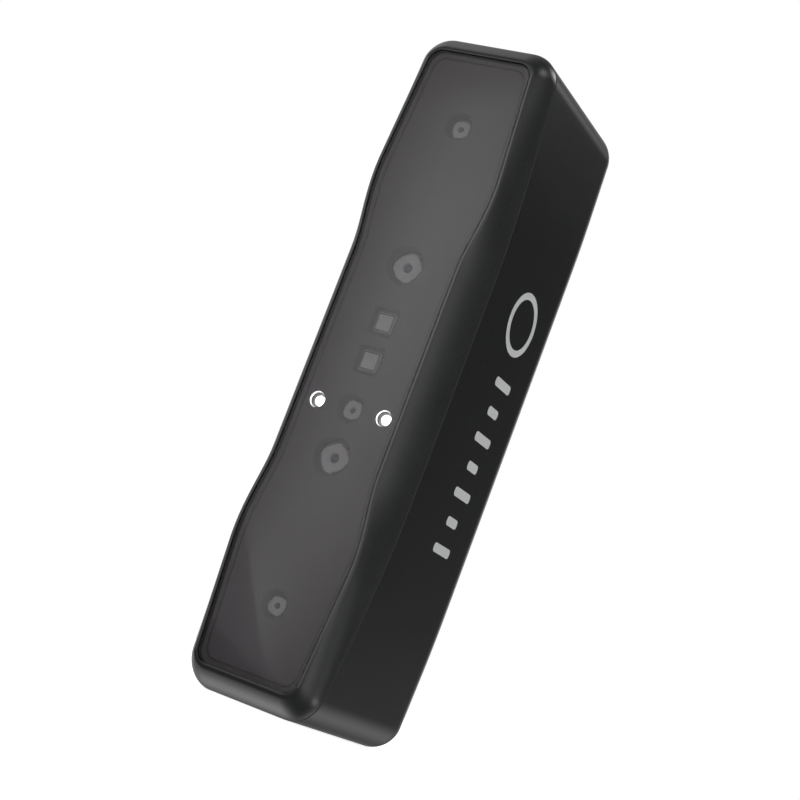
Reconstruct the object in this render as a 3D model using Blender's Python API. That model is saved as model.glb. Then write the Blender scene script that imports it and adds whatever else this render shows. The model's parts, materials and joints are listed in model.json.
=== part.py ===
"""Handheld 3-D scanner: a long box held upright, with a waisted window in front and three buttons behind.

Run it with: blender --background --python part.py

All sizes below are in millimetres. A point is (x, depth, z): x to the scanner's left and right, depth
measured back from the front face of the window rim, z measured up from the middle of the body's length.
place() turns such a point into Blender's metres, with the origin under the middle of the bounding box.
"""

import math

import bmesh
import bpy
from mathutils import Vector

# Overall sizes
LENGTH = 172.0  # top end to bottom end
WIDTH = 38.1  # across the middle
END_LEAN = 1.2  # how far each side has leaned in by the ends
LEAN_RUN = 30.0  # the sides lean in over this length at each end
LEAN_BLEND = 6.0  # softness of the change from straight to leaning
BODY_DEPTH = 60.6  # window rim to the rear face
END_SEAM_DEPTH = 6.7  # window rim to the line where the bezel meets the housing, at the ends
SEAM_BOW = 5.6  # how much further back that line runs along the middle
SEAM_BOW_RUN = 49.0  # it comes forward over this length at each end
COVER_DEPTH = 4.5  # rear face to the line where the housing meets the rear cover
CORNER_RADIUS = 7.2  # the four corners, seen from the front
REAR_RADIUS = 10.0  # rounding all round the rear face
REAR_CORNER_RADIUS = 3.0  # least corner radius left where the rounding meets the flat rear
COVER_ARC_STEPS = 4
INNER_ROUNDING = 0.8
WALL = 1.9
BUTTON_PROUD = 0.6

# Window: two wide lobes and a narrow waist
RIM_END_MARGIN = 5.35  # body end to the inside of the rim
WAIST_MARGIN = 4.8  # body side to the inside of the rim, at the waist
LOBE_END_MARGIN = 5.0  # the same at the ends of the lobes
LOBE_TAPER = 0.0735  # half width gained per millimetre away from each end
LOBE_LENGTH = 35.0  # body end to the start of the shoulder
SHOULDER_LENGTH = 25.0  # from the lobe in to the full waist
RIM_CORNER_RADIUS = 3.6
RIM_WIDTH = 0.75
FLARE_START, FLARE_END = 35.0, 80.0  # slope of the bezel's flare, in degrees from the front face
GLASS_GAP = 0.25
GLASS_SINK = 0.15
GLASS_THICKNESS = 1.0
GLASS_CHAMFER = 0.15
GASKET_THICKNESS = 0.4
GASKET_WIDTH = 0.9
LEDGE_WIDTH = 1.3
LEDGE_THICKNESS = 1.3
LEDGE_HAUNCH = 0.55  # share of the way from the ledge out to the wall where its thick root starts

GAP = 0.3  # between two pieces that only meet
THIN_GAP = 0.2  # either side of the gasket
OVERRUN = 1.0  # how far a cutting tool reaches past the piece that it cuts
EMBED = 0.5  # how far a boss or a post runs into the wall that carries it

# Optics: places of the centres, and diameters
FAR_CAMERA_MARGIN = 23.9  # from each end
NEAR_CAMERA_Z = 24.8
COLOUR_CAMERA_Z = -12.5
UPPER_PROJECTOR_Z = 10.0
LOWER_PROJECTOR_Z = 0.0
LED_MARGIN = 4.85  # inside of the rim at the waist to the centre of each light
SMALL_LENS, LARGE_LENS, COLOUR_LENS = 5.0, 7.8, 5.1
SMALL_HOLDER, LARGE_HOLDER = 8.6, 11.6
LENS_HEAD = 2.4  # length of the wide front end of a lens
LENS_STEP = 0.35  # how much narrower its barrel is behind that
LENS_CHAMFER = 0.2
APERTURE_SHARE = 0.34  # of a lens's radius
APERTURE_DEPTH = 0.6
BARREL_CLEARANCE = 1.6  # rear end of a lens to the back of its holder
WELL_MARGIN = 1.05  # from a lens out to its well
PROJECTOR_SIDE = 5.0
PROJECTOR_BODY_MARGIN = 0.5
PROJECTOR_WINDOW_THICKNESS = 0.6
PROJECTOR_WELL_SIDE = 7.1
LED_SLEEVE = 4.1
SLEEVE_BEVEL = 0.35
LED_PIPE = 2.4
PIPE_CROWN = 0.25
LED_SIDE, LED_THICKNESS = 2.8, 0.7
LED_BOARD_HEIGHT, LED_BOARD_MARGIN = 8.4, 3.0
LENS_FACE = 3.3  # depth of the front of each lens
PROJECTOR_FACE = 2.4
SLEEVE_FACE = 1.9
MASK_THICKNESS = 1.2
MASK_SKIRT = 2.3
SKIRT_WALL = 0.8

# Optical bench and what it carries
BENCH_DEPTH = 8.8
BENCH_THICKNESS = 2.5
BENCH_SIDE_MARGIN, BENCH_END_MARGIN = 5.05, 9.0  # body surface to the bench's edge
BENCH_CORNER = 4.0
HOLDER_THICKNESS = 5.0
BOARD_THICKNESS = 1.0
SENSOR_BOARD_MARGIN = 1.0  # holder edge to board edge
STANDOFF_EDGE = 4.0  # bench edge to the centre of each standoff
STANDOFF_INSET = 8.0  # main board's end to the centre of each standoff
STANDOFF_RADIUS = 2.4
BENCH_SCREW_EDGE, BENCH_SCREW_INSET = 5.0, 4.0  # bench side and end to each screw
LEDGE_BAR_HEIGHT, LEDGE_BAR_THICKNESS = 10.0, 4.5
LEDGE_BAR_CLEARANCE = 0.8  # short of the middle of the wall

# Electronics
MAIN_BOARD_EDGE, MAIN_BOARD_MARGIN = 1.0, 28.0  # bench side to board side, body end to board end
MAIN_BOARD_THICKNESS = 1.6
BOARD_CORNER = 1.5
PROCESSOR_MARGIN = 28.0  # board's lower end to the processor
SHIELD_EDGE, SHIELD_HEIGHT, SHIELD_THICKNESS = 2.0, 30.0, 2.6
SHIELD_BEVEL = 0.4
PAD_EDGE, PAD_HEIGHT, PAD_THICKNESS = 3.0, 26.0, 1.0
HEAT_SINK_EDGE, HEAT_SINK_HEIGHT, HEAT_SINK_DEPTH = 1.0, 44.0, 9.0
FIN_COUNT, FIN_THICKNESS, HEAT_SINK_BASE = 6, 1.4, 2.2
BUTTON_BOARD_WIDTH, BUTTON_BOARD_THICKNESS = 13.0, 1.2
BUTTON_BOARD_BACKSET = 11.6  # rear face to the button board
BUTTON_BOARD_BELOW, BUTTON_BOARD_ABOVE = 12.0, 13.5  # past the lowest button, past the indicator
BOARD_POST_INSET, BOARD_POST_RADIUS = 3.0, 1.7
SWITCH_SIDE, SWITCH_HEIGHT = 5.2, 2.1
SWITCH_CAP, SWITCH_CAP_HEIGHT = 2.4, 0.7
FLEX_THICKNESS, FLEX_WIDTH, FLEX_BEND = 0.3, 5.0, 3.0
FLEX_DROP, FLEX_TAIL = 18.0, 12.0  # reach down each board from the top of the fold
FLEX_BEND_STEPS = 5

# Rear cover and buttons
BUTTON_TRAVEL = 0.5
BUTTON_CLEARANCE = 0.3
BUTTON_FLANGE = 1.0
BUTTON_EDGE = 2.85  # edge of the flat rear to the middle button
SIDE_BUTTON_SMALLER = 1.4  # difference of radius
BUTTON_BEVEL = 0.4
SWITCH_PLAY = 0.1
SCAN_BUTTON_Z, BUTTON_PITCH = 8.0, 19.0
STEM_RADIUS = 1.8
INDICATOR_WIDTH, INDICATOR_HEIGHT = 7.0, 1.6
INDICATOR_FLANGE = 0.9
INDICATOR_ABOVE = 12.5  # from the upper button's centre
VENT_EDGE, VENT_HEIGHT, VENT_PITCH = 3.55, 1.5, 4.0
VENT_CLEAR, VENT_MARGIN = 10.0, 19.5  # first vent from the indicator, last vent from the end
SLOT_ROUNDING = 0.49  # corner radius of a slot as a share of its height
COVER_SCREW_MARGIN = 13.5  # from each end
COVER_BOSS_RADIUS = 3.6
COVER_BOSS_LENGTH = 9.5
COVER_BOSS_BACKSET = 1.0  # boss face in front of the split
COVER_POST_WALL = 1.6
SCREW_SINK = 0.4  # how far the cover screws sit below the rear face

# Bottom end
TRIPOD_BORE = 5.2
TRIPOD_CHAMFER = 0.6
INSERT_RADIUS, INSERT_LENGTH = 4.4, 8.0
INSERT_BOSS_WALL, INSERT_BOSS_END = 2.2, 1.5
USB_BACKSET = 20.6  # rear face to the middle of the connector
USB_SHELL = (8.94, 3.16, 7.35)
USB_WALL = 0.3
USB_BACK_WALL = 0.8
USB_TONGUE = (6.7, 0.7)
USB_TONGUE_SINK = 0.9
USB_BOARD = (16.0, 15.0, 1.0)

# Screws: shank radius, head radius, head height, length under the head
M2_SCREW = (0.85, 1.75, 1.2, 6.0)
COVER_SCREW = (0.85, 1.9, 1.3, 7.5)
SCREW_TIP, SCREW_BEVEL = 0.4, 0.25
PILOT_CLEARANCE = 0.12
HEX_SHARE = 0.45  # socket size as a share of the head's radius
HEX_DEPTH_SHARE = 0.55  # socket depth as a share of the head's height

# Sizes that follow
RIM_LENGTH = LENGTH - 2 * RIM_END_MARGIN
WAIST_WIDTH = WIDTH - 2 * WAIST_MARGIN
LOBE_END_WIDTH = WIDTH - 2 * LOBE_END_MARGIN
WAIST_HALF_LENGTH = LENGTH / 2 - LOBE_LENGTH - SHOULDER_LENGTH
FLAT_REAR_WIDTH = WIDTH - 2 * REAR_RADIUS
FAR_CAMERA_Z = LENGTH / 2 - FAR_CAMERA_MARGIN
LED_X = WAIST_WIDTH / 2 - LED_MARGIN
BENCH_WIDTH, BENCH_LENGTH = WIDTH - 2 * BENCH_SIDE_MARGIN, LENGTH - 2 * BENCH_END_MARGIN
MAIN_BOARD_WIDTH, MAIN_BOARD_HEIGHT = BENCH_WIDTH - 2 * MAIN_BOARD_EDGE, LENGTH - 2 * MAIN_BOARD_MARGIN
STANDOFF_X, STANDOFF_Z = BENCH_WIDTH / 2 - STANDOFF_EDGE, MAIN_BOARD_HEIGHT / 2 - STANDOFF_INSET
BENCH_SCREW_X, BENCH_SCREW_Z = BENCH_WIDTH / 2 - BENCH_SCREW_EDGE, BENCH_LENGTH / 2 - BENCH_SCREW_INSET
COVER_SCREW_Z = LENGTH / 2 - COVER_SCREW_MARGIN
PROCESSOR_Z = PROCESSOR_MARGIN - MAIN_BOARD_HEIGHT / 2
SCAN_BUTTON_RADIUS = FLAT_REAR_WIDTH / 2 - BUTTON_EDGE
SIDE_BUTTON_RADIUS = SCAN_BUTTON_RADIUS - SIDE_BUTTON_SMALLER
VENT_WIDTH = FLAT_REAR_WIDTH - 2 * VENT_EDGE

ORIGIN_DEPTH = (BODY_DEPTH + BUTTON_PROUD) / 2
MM = 0.001

MATERIALS = {  # base colour, metallic, roughness, transmission
    "tinted_glass": ((0.030, 0.027, 0.029), 0.0, 0.06, 0.85),
    "gloss_black": ((0.018, 0.019, 0.019), 0.0, 0.18, 0.0),
    "satin_black": ((0.012, 0.013, 0.014), 0.0, 0.38, 0.0),
    "mask_black": ((0.020, 0.018, 0.019), 0.0, 0.55, 0.0),
    "foam_black": ((0.010, 0.010, 0.010), 0.0, 0.90, 0.0),
    "lens_grey": ((0.110, 0.105, 0.108), 0.4, 0.45, 0.0),
    "holder_black": ((0.015, 0.015, 0.016), 0.0, 0.60, 0.0),
    "window_clear": ((0.200, 0.195, 0.200), 0.0, 0.15, 0.3),
    "light_white": ((0.900, 0.900, 0.900), 0.0, 0.30, 0.0),
    "board_green": ((0.010, 0.060, 0.025), 0.0, 0.45, 0.0),
    "cast_aluminium": ((0.560, 0.560, 0.570), 1.0, 0.45, 0.0),
    "steel": ((0.520, 0.520, 0.510), 1.0, 0.30, 0.0),
    "brass": ((0.600, 0.430, 0.170), 1.0, 0.30, 0.0),
    "pad_blue": ((0.250, 0.350, 0.480), 0.0, 0.80, 0.0),
    "flex_amber": ((0.350, 0.160, 0.020), 0.0, 0.35, 0.0),
    "button_grey": ((0.045, 0.046, 0.048), 0.0, 0.42, 0.0),
}


def clear_scene():
    for old in list(bpy.data.objects):
        bpy.data.objects.remove(old, do_unlink=True)


def material(name):
    found = bpy.data.materials.get(name)
    if found:
        return found
    colour, metallic, roughness, transmission = MATERIALS[name]
    made = bpy.data.materials.new(name)
    made.use_nodes = True
    shader = made.node_tree.nodes["Principled BSDF"]
    shader.inputs["Base Color"].default_value = (*colour, 1.0)
    shader.inputs["Metallic"].default_value = metallic
    shader.inputs["Roughness"].default_value = roughness
    shader.inputs["Transmission Weight"].default_value = transmission
    made.diffuse_color = (*colour, 1.0)
    return made


def place(x, depth, z):
    return Vector((x * MM, (depth - ORIGIN_DEPTH) * MM, (z + LENGTH / 2) * MM))


def finish_object(name, bm, finish, origin=None, smooth=True):
    """An object from a bmesh in world metres, with its own origin where one is given."""
    bmesh.ops.recalc_face_normals(bm, faces=bm.faces)
    if bm.calc_volume(signed=True) < 0:
        bmesh.ops.reverse_faces(bm, faces=bm.faces)
    at = origin or Vector((0, 0, 0))
    bmesh.ops.translate(bm, verts=bm.verts, vec=-at)
    mesh = bpy.data.meshes.new(name)
    bm.to_mesh(mesh)
    bm.free()
    if smooth:
        mesh.shade_smooth()
        mesh.set_sharp_from_angle(angle=math.radians(35))
    made = bpy.data.objects.new(name, mesh)
    made.location = at
    bpy.context.scene.collection.objects.link(made)
    if finish:
        mesh.materials.append(material(finish))
    else:
        made.hide_render = True
        made.display_type = "WIRE"
    return made


def add_rings(bm, rings, closed=False):
    """Joins rings of (x, depth, z) points, all of one count. An open run of rings is capped at its ends."""
    loops = [[bm.verts.new(place(*point)) for point in ring] for ring in rings]
    pairs = list(zip(loops, loops[1:])) + ([(loops[-1], loops[0])] if closed else [])
    for first, second in pairs:
        for i in range(len(first)):
            j = (i + 1) % len(first)
            bm.faces.new((first[i], first[j], second[j], second[i]))
    if not closed:
        bm.faces.new(loops[0][::-1])
        bm.faces.new(loops[-1])


def ring_body(name, rings, finish, closed=False, origin=None):
    bm = bmesh.new()
    add_rings(bm, rings, closed)
    return finish_object(name, bm, finish, origin)


def circle(radius, depth, x=0.0, z=0.0, sides=20):
    turns = [2 * math.pi * (i + 0.5) / sides for i in range(sides)]
    return [(x + radius * math.cos(a), depth, z + radius * math.sin(a)) for a in turns]


def rectangle(width, height, depth, x=0.0, z=0.0):
    half_w, half_h = width / 2, height / 2
    corners = ((1, 1), (-1, 1), (-1, -1), (1, -1))
    return [(x + sx * half_w, depth, z + sz * half_h) for sx, sz in corners]


def rounded_rectangle(width, height, radius, depth, x=0.0, z=0.0, steps=3):
    points = []
    for quarter, (sx, sz) in enumerate(((1, 1), (-1, 1), (-1, -1), (1, -1))):
        centre_x, centre_z = x + sx * (width / 2 - radius), z + sz * (height / 2 - radius)
        for step in range(steps + 1):
            a = math.pi / 2 * (quarter + step / steps)
            points.append((centre_x + radius * math.cos(a), depth, centre_z + radius * math.sin(a)))
    return points


def prism(name, outline, front, back, finish):
    """A flat-ended solid: outline is a function of depth that gives one ring."""
    return ring_body(name, [outline(front), outline(back)], finish)


def modify(target, tool, operation):
    """Joins or cuts with a hidden tool, whose own solids may run into one another."""
    boolean = target.modifiers.new(f"{operation.lower()} {tool.name}", "BOOLEAN")
    boolean.operation = operation
    boolean.use_self = True
    boolean.object = tool


def many(name, ring_runs):
    """One hidden tool made of several separate solids."""
    bm = bmesh.new()
    for rings in ring_runs:
        add_rings(bm, rings)
    return finish_object(name, bm, None, smooth=False)


# Outlines seen from the front


def smoothstep(t):
    t = min(max(t, 0.0), 1.0)
    return t * t * (3 - 2 * t)


def hinge(distance, blend):
    """Zero before its bend, then a straight line, with a soft change between them."""
    return (distance + math.sqrt(distance * distance + blend * blend)) / 2


def rim_half_width(z):
    lobe = LOBE_END_WIDTH / 2 + LOBE_TAPER * (RIM_LENGTH / 2 - abs(z))
    blend = smoothstep((abs(z) - WAIST_HALF_LENGTH) / SHOULDER_LENGTH)
    return WAIST_WIDTH / 2 + (lobe - WAIST_WIDTH / 2) * blend


def end_change(z, run):
    """Zero along the middle, then a straight rise to one at each end, over the last run of the length."""
    straight = LENGTH / 2 - run
    return hinge(abs(z) - straight, LEAN_BLEND) / hinge(run, LEAN_BLEND)


def body_half_width(z):
    return WIDTH / 2 - END_LEAN * end_change(z, LEAN_RUN)


def seam_depth(z):
    """Where the bezel meets the housing: furthest back along the waist."""
    return END_SEAM_DEPTH + SEAM_BOW * (1 - end_change(z, SEAM_BOW_RUN))


# Heights of the side points, as shares of the straight side: close together at the shoulders
SIDE_SHARES = (1.0, 0.78, 0.62, 0.55, 0.48, 0.41, 0.34, 0.22)
SIDE_SHARES = SIDE_SHARES + (0.0,) + tuple(-share for share in reversed(SIDE_SHARES))
CORNER_STEPS = 4


def outline(half_width, half_length, radius, offset=0.0):
    """A ring of (x, z): the sides follow half_width(z) and the corners are round. offset grows it."""
    radius = max(radius + offset, REAR_CORNER_RADIUS)
    top = half_length + offset - radius

    def side(z):
        return half_width(z) + offset

    right = [(side(share * top), share * top) for share in SIDE_SHARES]
    corner_x = side(top) - radius
    lean = (side(top) - side(top - 1.0)) * radius
    upper = []
    for step in range(1, CORNER_STEPS + 1):
        a = math.pi / 2 * step / CORNER_STEPS
        across = radius * math.cos(a) + lean * math.sin(a) * math.cos(a)
        upper.append((corner_x + across, top + radius * math.sin(a)))
    half = [(x, z) for x, z in reversed(upper)] + right + [(x, -z) for x, z in upper]
    return half + [(-x, z) for x, z in reversed(half)]


def rim_outline(offset, depth):
    ring = outline(rim_half_width, RIM_LENGTH / 2, RIM_CORNER_RADIUS, offset)
    return [(x, depth, z) for x, z in ring]


def body_inset(depth):
    """How far the rear rounding has drawn the surface in."""
    into = depth - (BODY_DEPTH - REAR_RADIUS)
    return 0.0 if into <= 0 else REAR_RADIUS - math.sqrt(max(REAR_RADIUS**2 - into**2, 0.0))


def body_outline(depth, inset=0.0):
    """The body's outer surface at this depth, or a surface inside it."""
    offset = -body_inset(depth) - inset
    return [(x, depth, z) for x, z in outline(body_half_width, LENGTH / 2, CORNER_RADIUS, offset)]


def seam_outline(inset, offset):
    """The body's outline along the seam, moved back by offset."""
    outer, inner = body_outline(0.0), body_outline(0.0, inset)
    return [(x, seam_depth(z) + offset, inner_z) for (x, _, inner_z), (_, _, z) in zip(inner, outer)]


def between(first, second, share, down=None):
    """A ring part of the way from one ring to another. down is its own share of the change in depth."""
    down = share if down is None else down
    shares = (share, down, share)
    return [tuple(a + (b - a) * t for a, b, t in zip(p, q, shares)) for p, q in zip(first, second)]


def at_depth(ring, depth):
    return [(x, depth, z) for x, _, z in ring]


# Depths that follow from the stack of pieces behind the window
GLASS_BACK = GLASS_SINK + GLASS_THICKNESS
GASKET_FRONT = GLASS_BACK + THIN_GAP
LEDGE_FRONT = GASKET_FRONT + GASKET_THICKNESS + THIN_GAP
LEDGE_BACK = LEDGE_FRONT + LEDGE_THICKNESS
MASK_FRONT = GLASS_BACK + GAP
MASK_BACK = MASK_FRONT + MASK_THICKNESS
BENCH_BACK = BENCH_DEPTH + BENCH_THICKNESS
HOLDER_FRONT = BENCH_BACK + GAP
HOLDER_BACK = HOLDER_FRONT + HOLDER_THICKNESS
CAMERA_BOARD_FRONT = HOLDER_BACK + GAP
CAMERA_BOARD_BACK = CAMERA_BOARD_FRONT + BOARD_THICKNESS
BUTTON_BOARD_DEPTH = BODY_DEPTH - BUTTON_BOARD_BACKSET
BUTTON_BOARD_BACK = BUTTON_BOARD_DEPTH + BUTTON_BOARD_THICKNESS
COOLING_THICKNESS = 3 * GAP + SHIELD_THICKNESS + PAD_THICKNESS + HEAT_SINK_DEPTH
BOARD_ROOM = BUTTON_BOARD_DEPTH - CAMERA_BOARD_BACK - MAIN_BOARD_THICKNESS - COOLING_THICKNESS
MAIN_BOARD_FRONT = CAMERA_BOARD_BACK + BOARD_ROOM / 2
MAIN_BOARD_BACK = MAIN_BOARD_FRONT + MAIN_BOARD_THICKNESS
STANDOFF_LENGTH = MAIN_BOARD_FRONT - GAP - BENCH_BACK
SPLIT_DEPTH = BODY_DEPTH - COVER_DEPTH
USB_DEPTH = BODY_DEPTH - USB_BACKSET
TRIPOD_DEPTH = (BENCH_BACK + USB_DEPTH - USB_SHELL[1] / 2) / 2
LED_BOARD_FRONT = BENCH_DEPTH - GAP - BOARD_THICKNESS
REAR_INNER = BODY_DEPTH - WALL
BUTTON_FACE = BODY_DEPTH + BUTTON_PROUD
FLANGE_BACK = REAR_INNER - GAP
FLANGE_FRONT = FLANGE_BACK - BUTTON_FLANGE
SWITCH_FRONT = BUTTON_BOARD_BACK + GAP
SWITCH_BACK = SWITCH_FRONT + SWITCH_HEIGHT
STEM_FRONT = SWITCH_BACK + BUTTON_TRAVEL + SWITCH_PLAY
INSERT_Z = -LENGTH / 2 + THIN_GAP
COVER_SCREW_SEAT = BODY_DEPTH - COVER_SCREW[2] - SCREW_SINK
COVER_SCREWS_Z = (COVER_SCREW_Z, -COVER_SCREW_Z)
LEDGE_OFFSET = -GLASS_GAP - LEDGE_WIDTH
HOUSING_FLOOR_Z = -LENGTH / 2 + WALL

CAMERAS = (  # name, height, lens diameter, holder side
    ("far_upper", FAR_CAMERA_Z, SMALL_LENS, SMALL_HOLDER),
    ("near_upper", NEAR_CAMERA_Z, LARGE_LENS, LARGE_HOLDER),
    ("colour", COLOUR_CAMERA_Z, COLOUR_LENS, SMALL_HOLDER),
    ("near_lower", -NEAR_CAMERA_Z, LARGE_LENS, LARGE_HOLDER),
    ("far_lower", -FAR_CAMERA_Z, SMALL_LENS, SMALL_HOLDER),
)
PROJECTORS = (("upper", UPPER_PROJECTOR_Z), ("lower", LOWER_PROJECTOR_Z))
LEDS = (("left", -LED_X), ("right", LED_X))
BUTTONS = (  # name, height, radius
    ("plus_button", SCAN_BUTTON_Z + BUTTON_PITCH, SIDE_BUTTON_RADIUS),
    ("scan_button", SCAN_BUTTON_Z, SCAN_BUTTON_RADIUS),
    ("minus_button", SCAN_BUTTON_Z - BUTTON_PITCH, SIDE_BUTTON_RADIUS),
)
INDICATOR_Z = SCAN_BUTTON_Z + BUTTON_PITCH + INDICATOR_ABOVE
BUTTON_BOARD_LOW = SCAN_BUTTON_Z - BUTTON_PITCH - BUTTON_BOARD_BELOW
BUTTON_BOARD_HIGH = INDICATOR_Z + BUTTON_BOARD_ABOVE
BOARD_POSTS_Z = (BUTTON_BOARD_HIGH - BOARD_POST_INSET, BUTTON_BOARD_LOW + BOARD_POST_INSET)
VENT_START_Z, VENT_END_Z = INDICATOR_Z + VENT_CLEAR, LENGTH / 2 - VENT_MARGIN
VENT_COUNT = 1 + int((VENT_END_Z - VENT_START_Z) / VENT_PITCH)
STANDOFFS = [(x, z) for x in (-STANDOFF_X, STANDOFF_X) for z in (-STANDOFF_Z, STANDOFF_Z)]
BENCH_SCREWS = [(x, z) for x in (-BENCH_SCREW_X, BENCH_SCREW_X) for z in (-BENCH_SCREW_Z, BENCH_SCREW_Z)]


# Window, bezel and mask


def make_window():
    edge = -GLASS_GAP
    rings = [
        rim_outline(edge - GLASS_CHAMFER, GLASS_SINK),
        rim_outline(edge, GLASS_SINK + GLASS_CHAMFER),
        rim_outline(edge, GLASS_BACK),
    ]
    ring_body("front_window", rings, "tinted_glass")
    gasket_outer, gasket_inner = edge - THIN_GAP, edge - THIN_GAP - GASKET_WIDTH
    front, back = GASKET_FRONT, GASKET_FRONT + GASKET_THICKNESS
    rings = [
        rim_outline(gasket_outer, front),
        rim_outline(gasket_outer, back),
        rim_outline(gasket_inner, back),
        rim_outline(gasket_inner, front),
    ]
    ring_body("window_gasket", rings, "foam_black", closed=True)


def make_bezel():
    """A thin rim round the glass, and a rounded flare from the rim back to the seam."""
    rim = rim_outline(RIM_WIDTH, 0.0)
    seam, inner_seam = seam_outline(0.0, -THIN_GAP / 2), seam_outline(WALL, -THIN_GAP / 2)
    start, end, steps = math.radians(FLARE_START), math.radians(FLARE_END), 5
    rings = [rim_outline(0.0, 0.0), rim]
    for step in range(1, steps + 1):
        a = start + (end - start) * step / steps
        across = (math.sin(a) - math.sin(start)) / (math.sin(end) - math.sin(start))
        down = (math.cos(start) - math.cos(a)) / (math.cos(start) - math.cos(end))
        rings.append(between(rim, seam, across, down))
    ledge = rim_outline(LEDGE_OFFSET, LEDGE_BACK)
    rings += [
        inner_seam,
        between(ledge, at_depth(inner_seam, LEDGE_BACK), LEDGE_HAUNCH),
        ledge,
        rim_outline(LEDGE_OFFSET, LEDGE_FRONT),
        rim_outline(0.0, LEDGE_FRONT),
    ]
    ring_body("front_bezel", rings, "gloss_black", closed=True)


def make_mask():
    """A moulded plate with a deep well round each lens, each projector and each light."""
    edge = LEDGE_OFFSET - GAP
    rings = [rim_outline(edge, MASK_FRONT), rim_outline(edge, MASK_BACK)]
    plate = ring_body("optics_mask", rings, "mask_black")
    skirts, wells = [], []
    skirt_top, skirt_back = MASK_BACK - EMBED, MASK_BACK + MASK_SKIRT
    through = (MASK_FRONT - OVERRUN, skirt_back + OVERRUN)
    for _, z, lens, _ in CAMERAS:
        radius = lens / 2 + WELL_MARGIN
        skirts.append([circle(radius + SKIRT_WALL, d, z=z) for d in (skirt_top, skirt_back)])
        wells.append([circle(radius, d, z=z) for d in through])
    for _, z in PROJECTORS:
        side = PROJECTOR_WELL_SIDE
        outer = side + 2 * SKIRT_WALL
        skirts.append([rectangle(outer, outer, d, z=z) for d in (skirt_top, skirt_back)])
        wells.append([rectangle(side, side, d, z=z) for d in through])
    z = COLOUR_CAMERA_Z
    for _, x in LEDS:
        radius = LED_SLEEVE / 2 + GAP
        skirts.append([circle(radius + SKIRT_WALL, d, x, z, 16) for d in (skirt_top, skirt_back)])
        wells.append([circle(radius, d, x, z, 16) for d in through])
    modify(plate, many("mask_skirts", skirts), "UNION")
    modify(plate, many("mask_wells", wells), "DIFFERENCE")


# Cameras, projectors and lights


def make_camera(name, z, lens, holder_side):
    radius = lens / 2
    aperture, barrel_radius = radius * APERTURE_SHARE, radius - LENS_STEP
    lens_back = HOLDER_BACK - BARREL_CLEARANCE
    barrel = [
        circle(aperture * 0.8, LENS_FACE + APERTURE_DEPTH, z=z),
        circle(aperture, LENS_FACE, z=z),
        circle(radius - LENS_CHAMFER, LENS_FACE, z=z),
        circle(radius, LENS_FACE + LENS_CHAMFER, z=z),
        circle(radius, LENS_FACE + LENS_HEAD - LENS_CHAMFER, z=z),
        circle(barrel_radius, LENS_FACE + LENS_HEAD, z=z),
        circle(barrel_radius, lens_back, z=z),
    ]
    ring_body(f"lens_{name}", barrel, "lens_grey")
    bore = barrel_radius + GAP
    sides = 20
    square = []
    for i in range(sides):
        a = 2 * math.pi * (i + 0.5) / sides
        reach = holder_side / 2 / max(abs(math.cos(a)), abs(math.sin(a)))
        square.append((reach * math.cos(a), z + reach * math.sin(a)))
    rings = [
        circle(bore, HOLDER_FRONT, z=z, sides=sides),
        [(x, HOLDER_FRONT, zz) for x, zz in square],
        [(x, HOLDER_BACK, zz) for x, zz in square],
        circle(bore, HOLDER_BACK, z=z, sides=sides),
    ]
    ring_body(f"holder_{name}", rings, "holder_black", closed=True)
    board_side = holder_side + 2 * SENSOR_BOARD_MARGIN

    def board(depth):
        return rectangle(board_side, board_side, depth, z=z)

    prism(f"sensor_board_{name}", board, CAMERA_BOARD_FRONT, CAMERA_BOARD_BACK, "board_green")


def make_projectors():
    """Two square projectors on one small board, behind their own clear windows."""
    side = PROJECTOR_SIDE
    body_side = side + 2 * PROJECTOR_BODY_MARGIN
    window_back = PROJECTOR_FACE + PROJECTOR_WINDOW_THICKNESS
    for name, z in PROJECTORS:
        window = [rectangle(side, side, d, z=z) for d in (PROJECTOR_FACE, window_back)]
        ring_body(f"projector_window_{name}", window, "window_clear")
        body_ends = (window_back + THIN_GAP, HOLDER_FRONT)
        body = [rectangle(body_side, body_side, d, z=z) for d in body_ends]
        ring_body(f"projector_{name}", body, "holder_black")
    front = HOLDER_FRONT + GAP
    middle = (UPPER_PROJECTOR_Z + LOWER_PROJECTOR_Z) / 2
    height = UPPER_PROJECTOR_Z - LOWER_PROJECTOR_Z + body_side + 2 * SENSOR_BOARD_MARGIN

    def board(depth):
        return rectangle(body_side + 4 * SENSOR_BOARD_MARGIN, height, depth, z=middle)

    prism("projector_board", board, front, front + BOARD_THICKNESS, "board_green")


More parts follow.
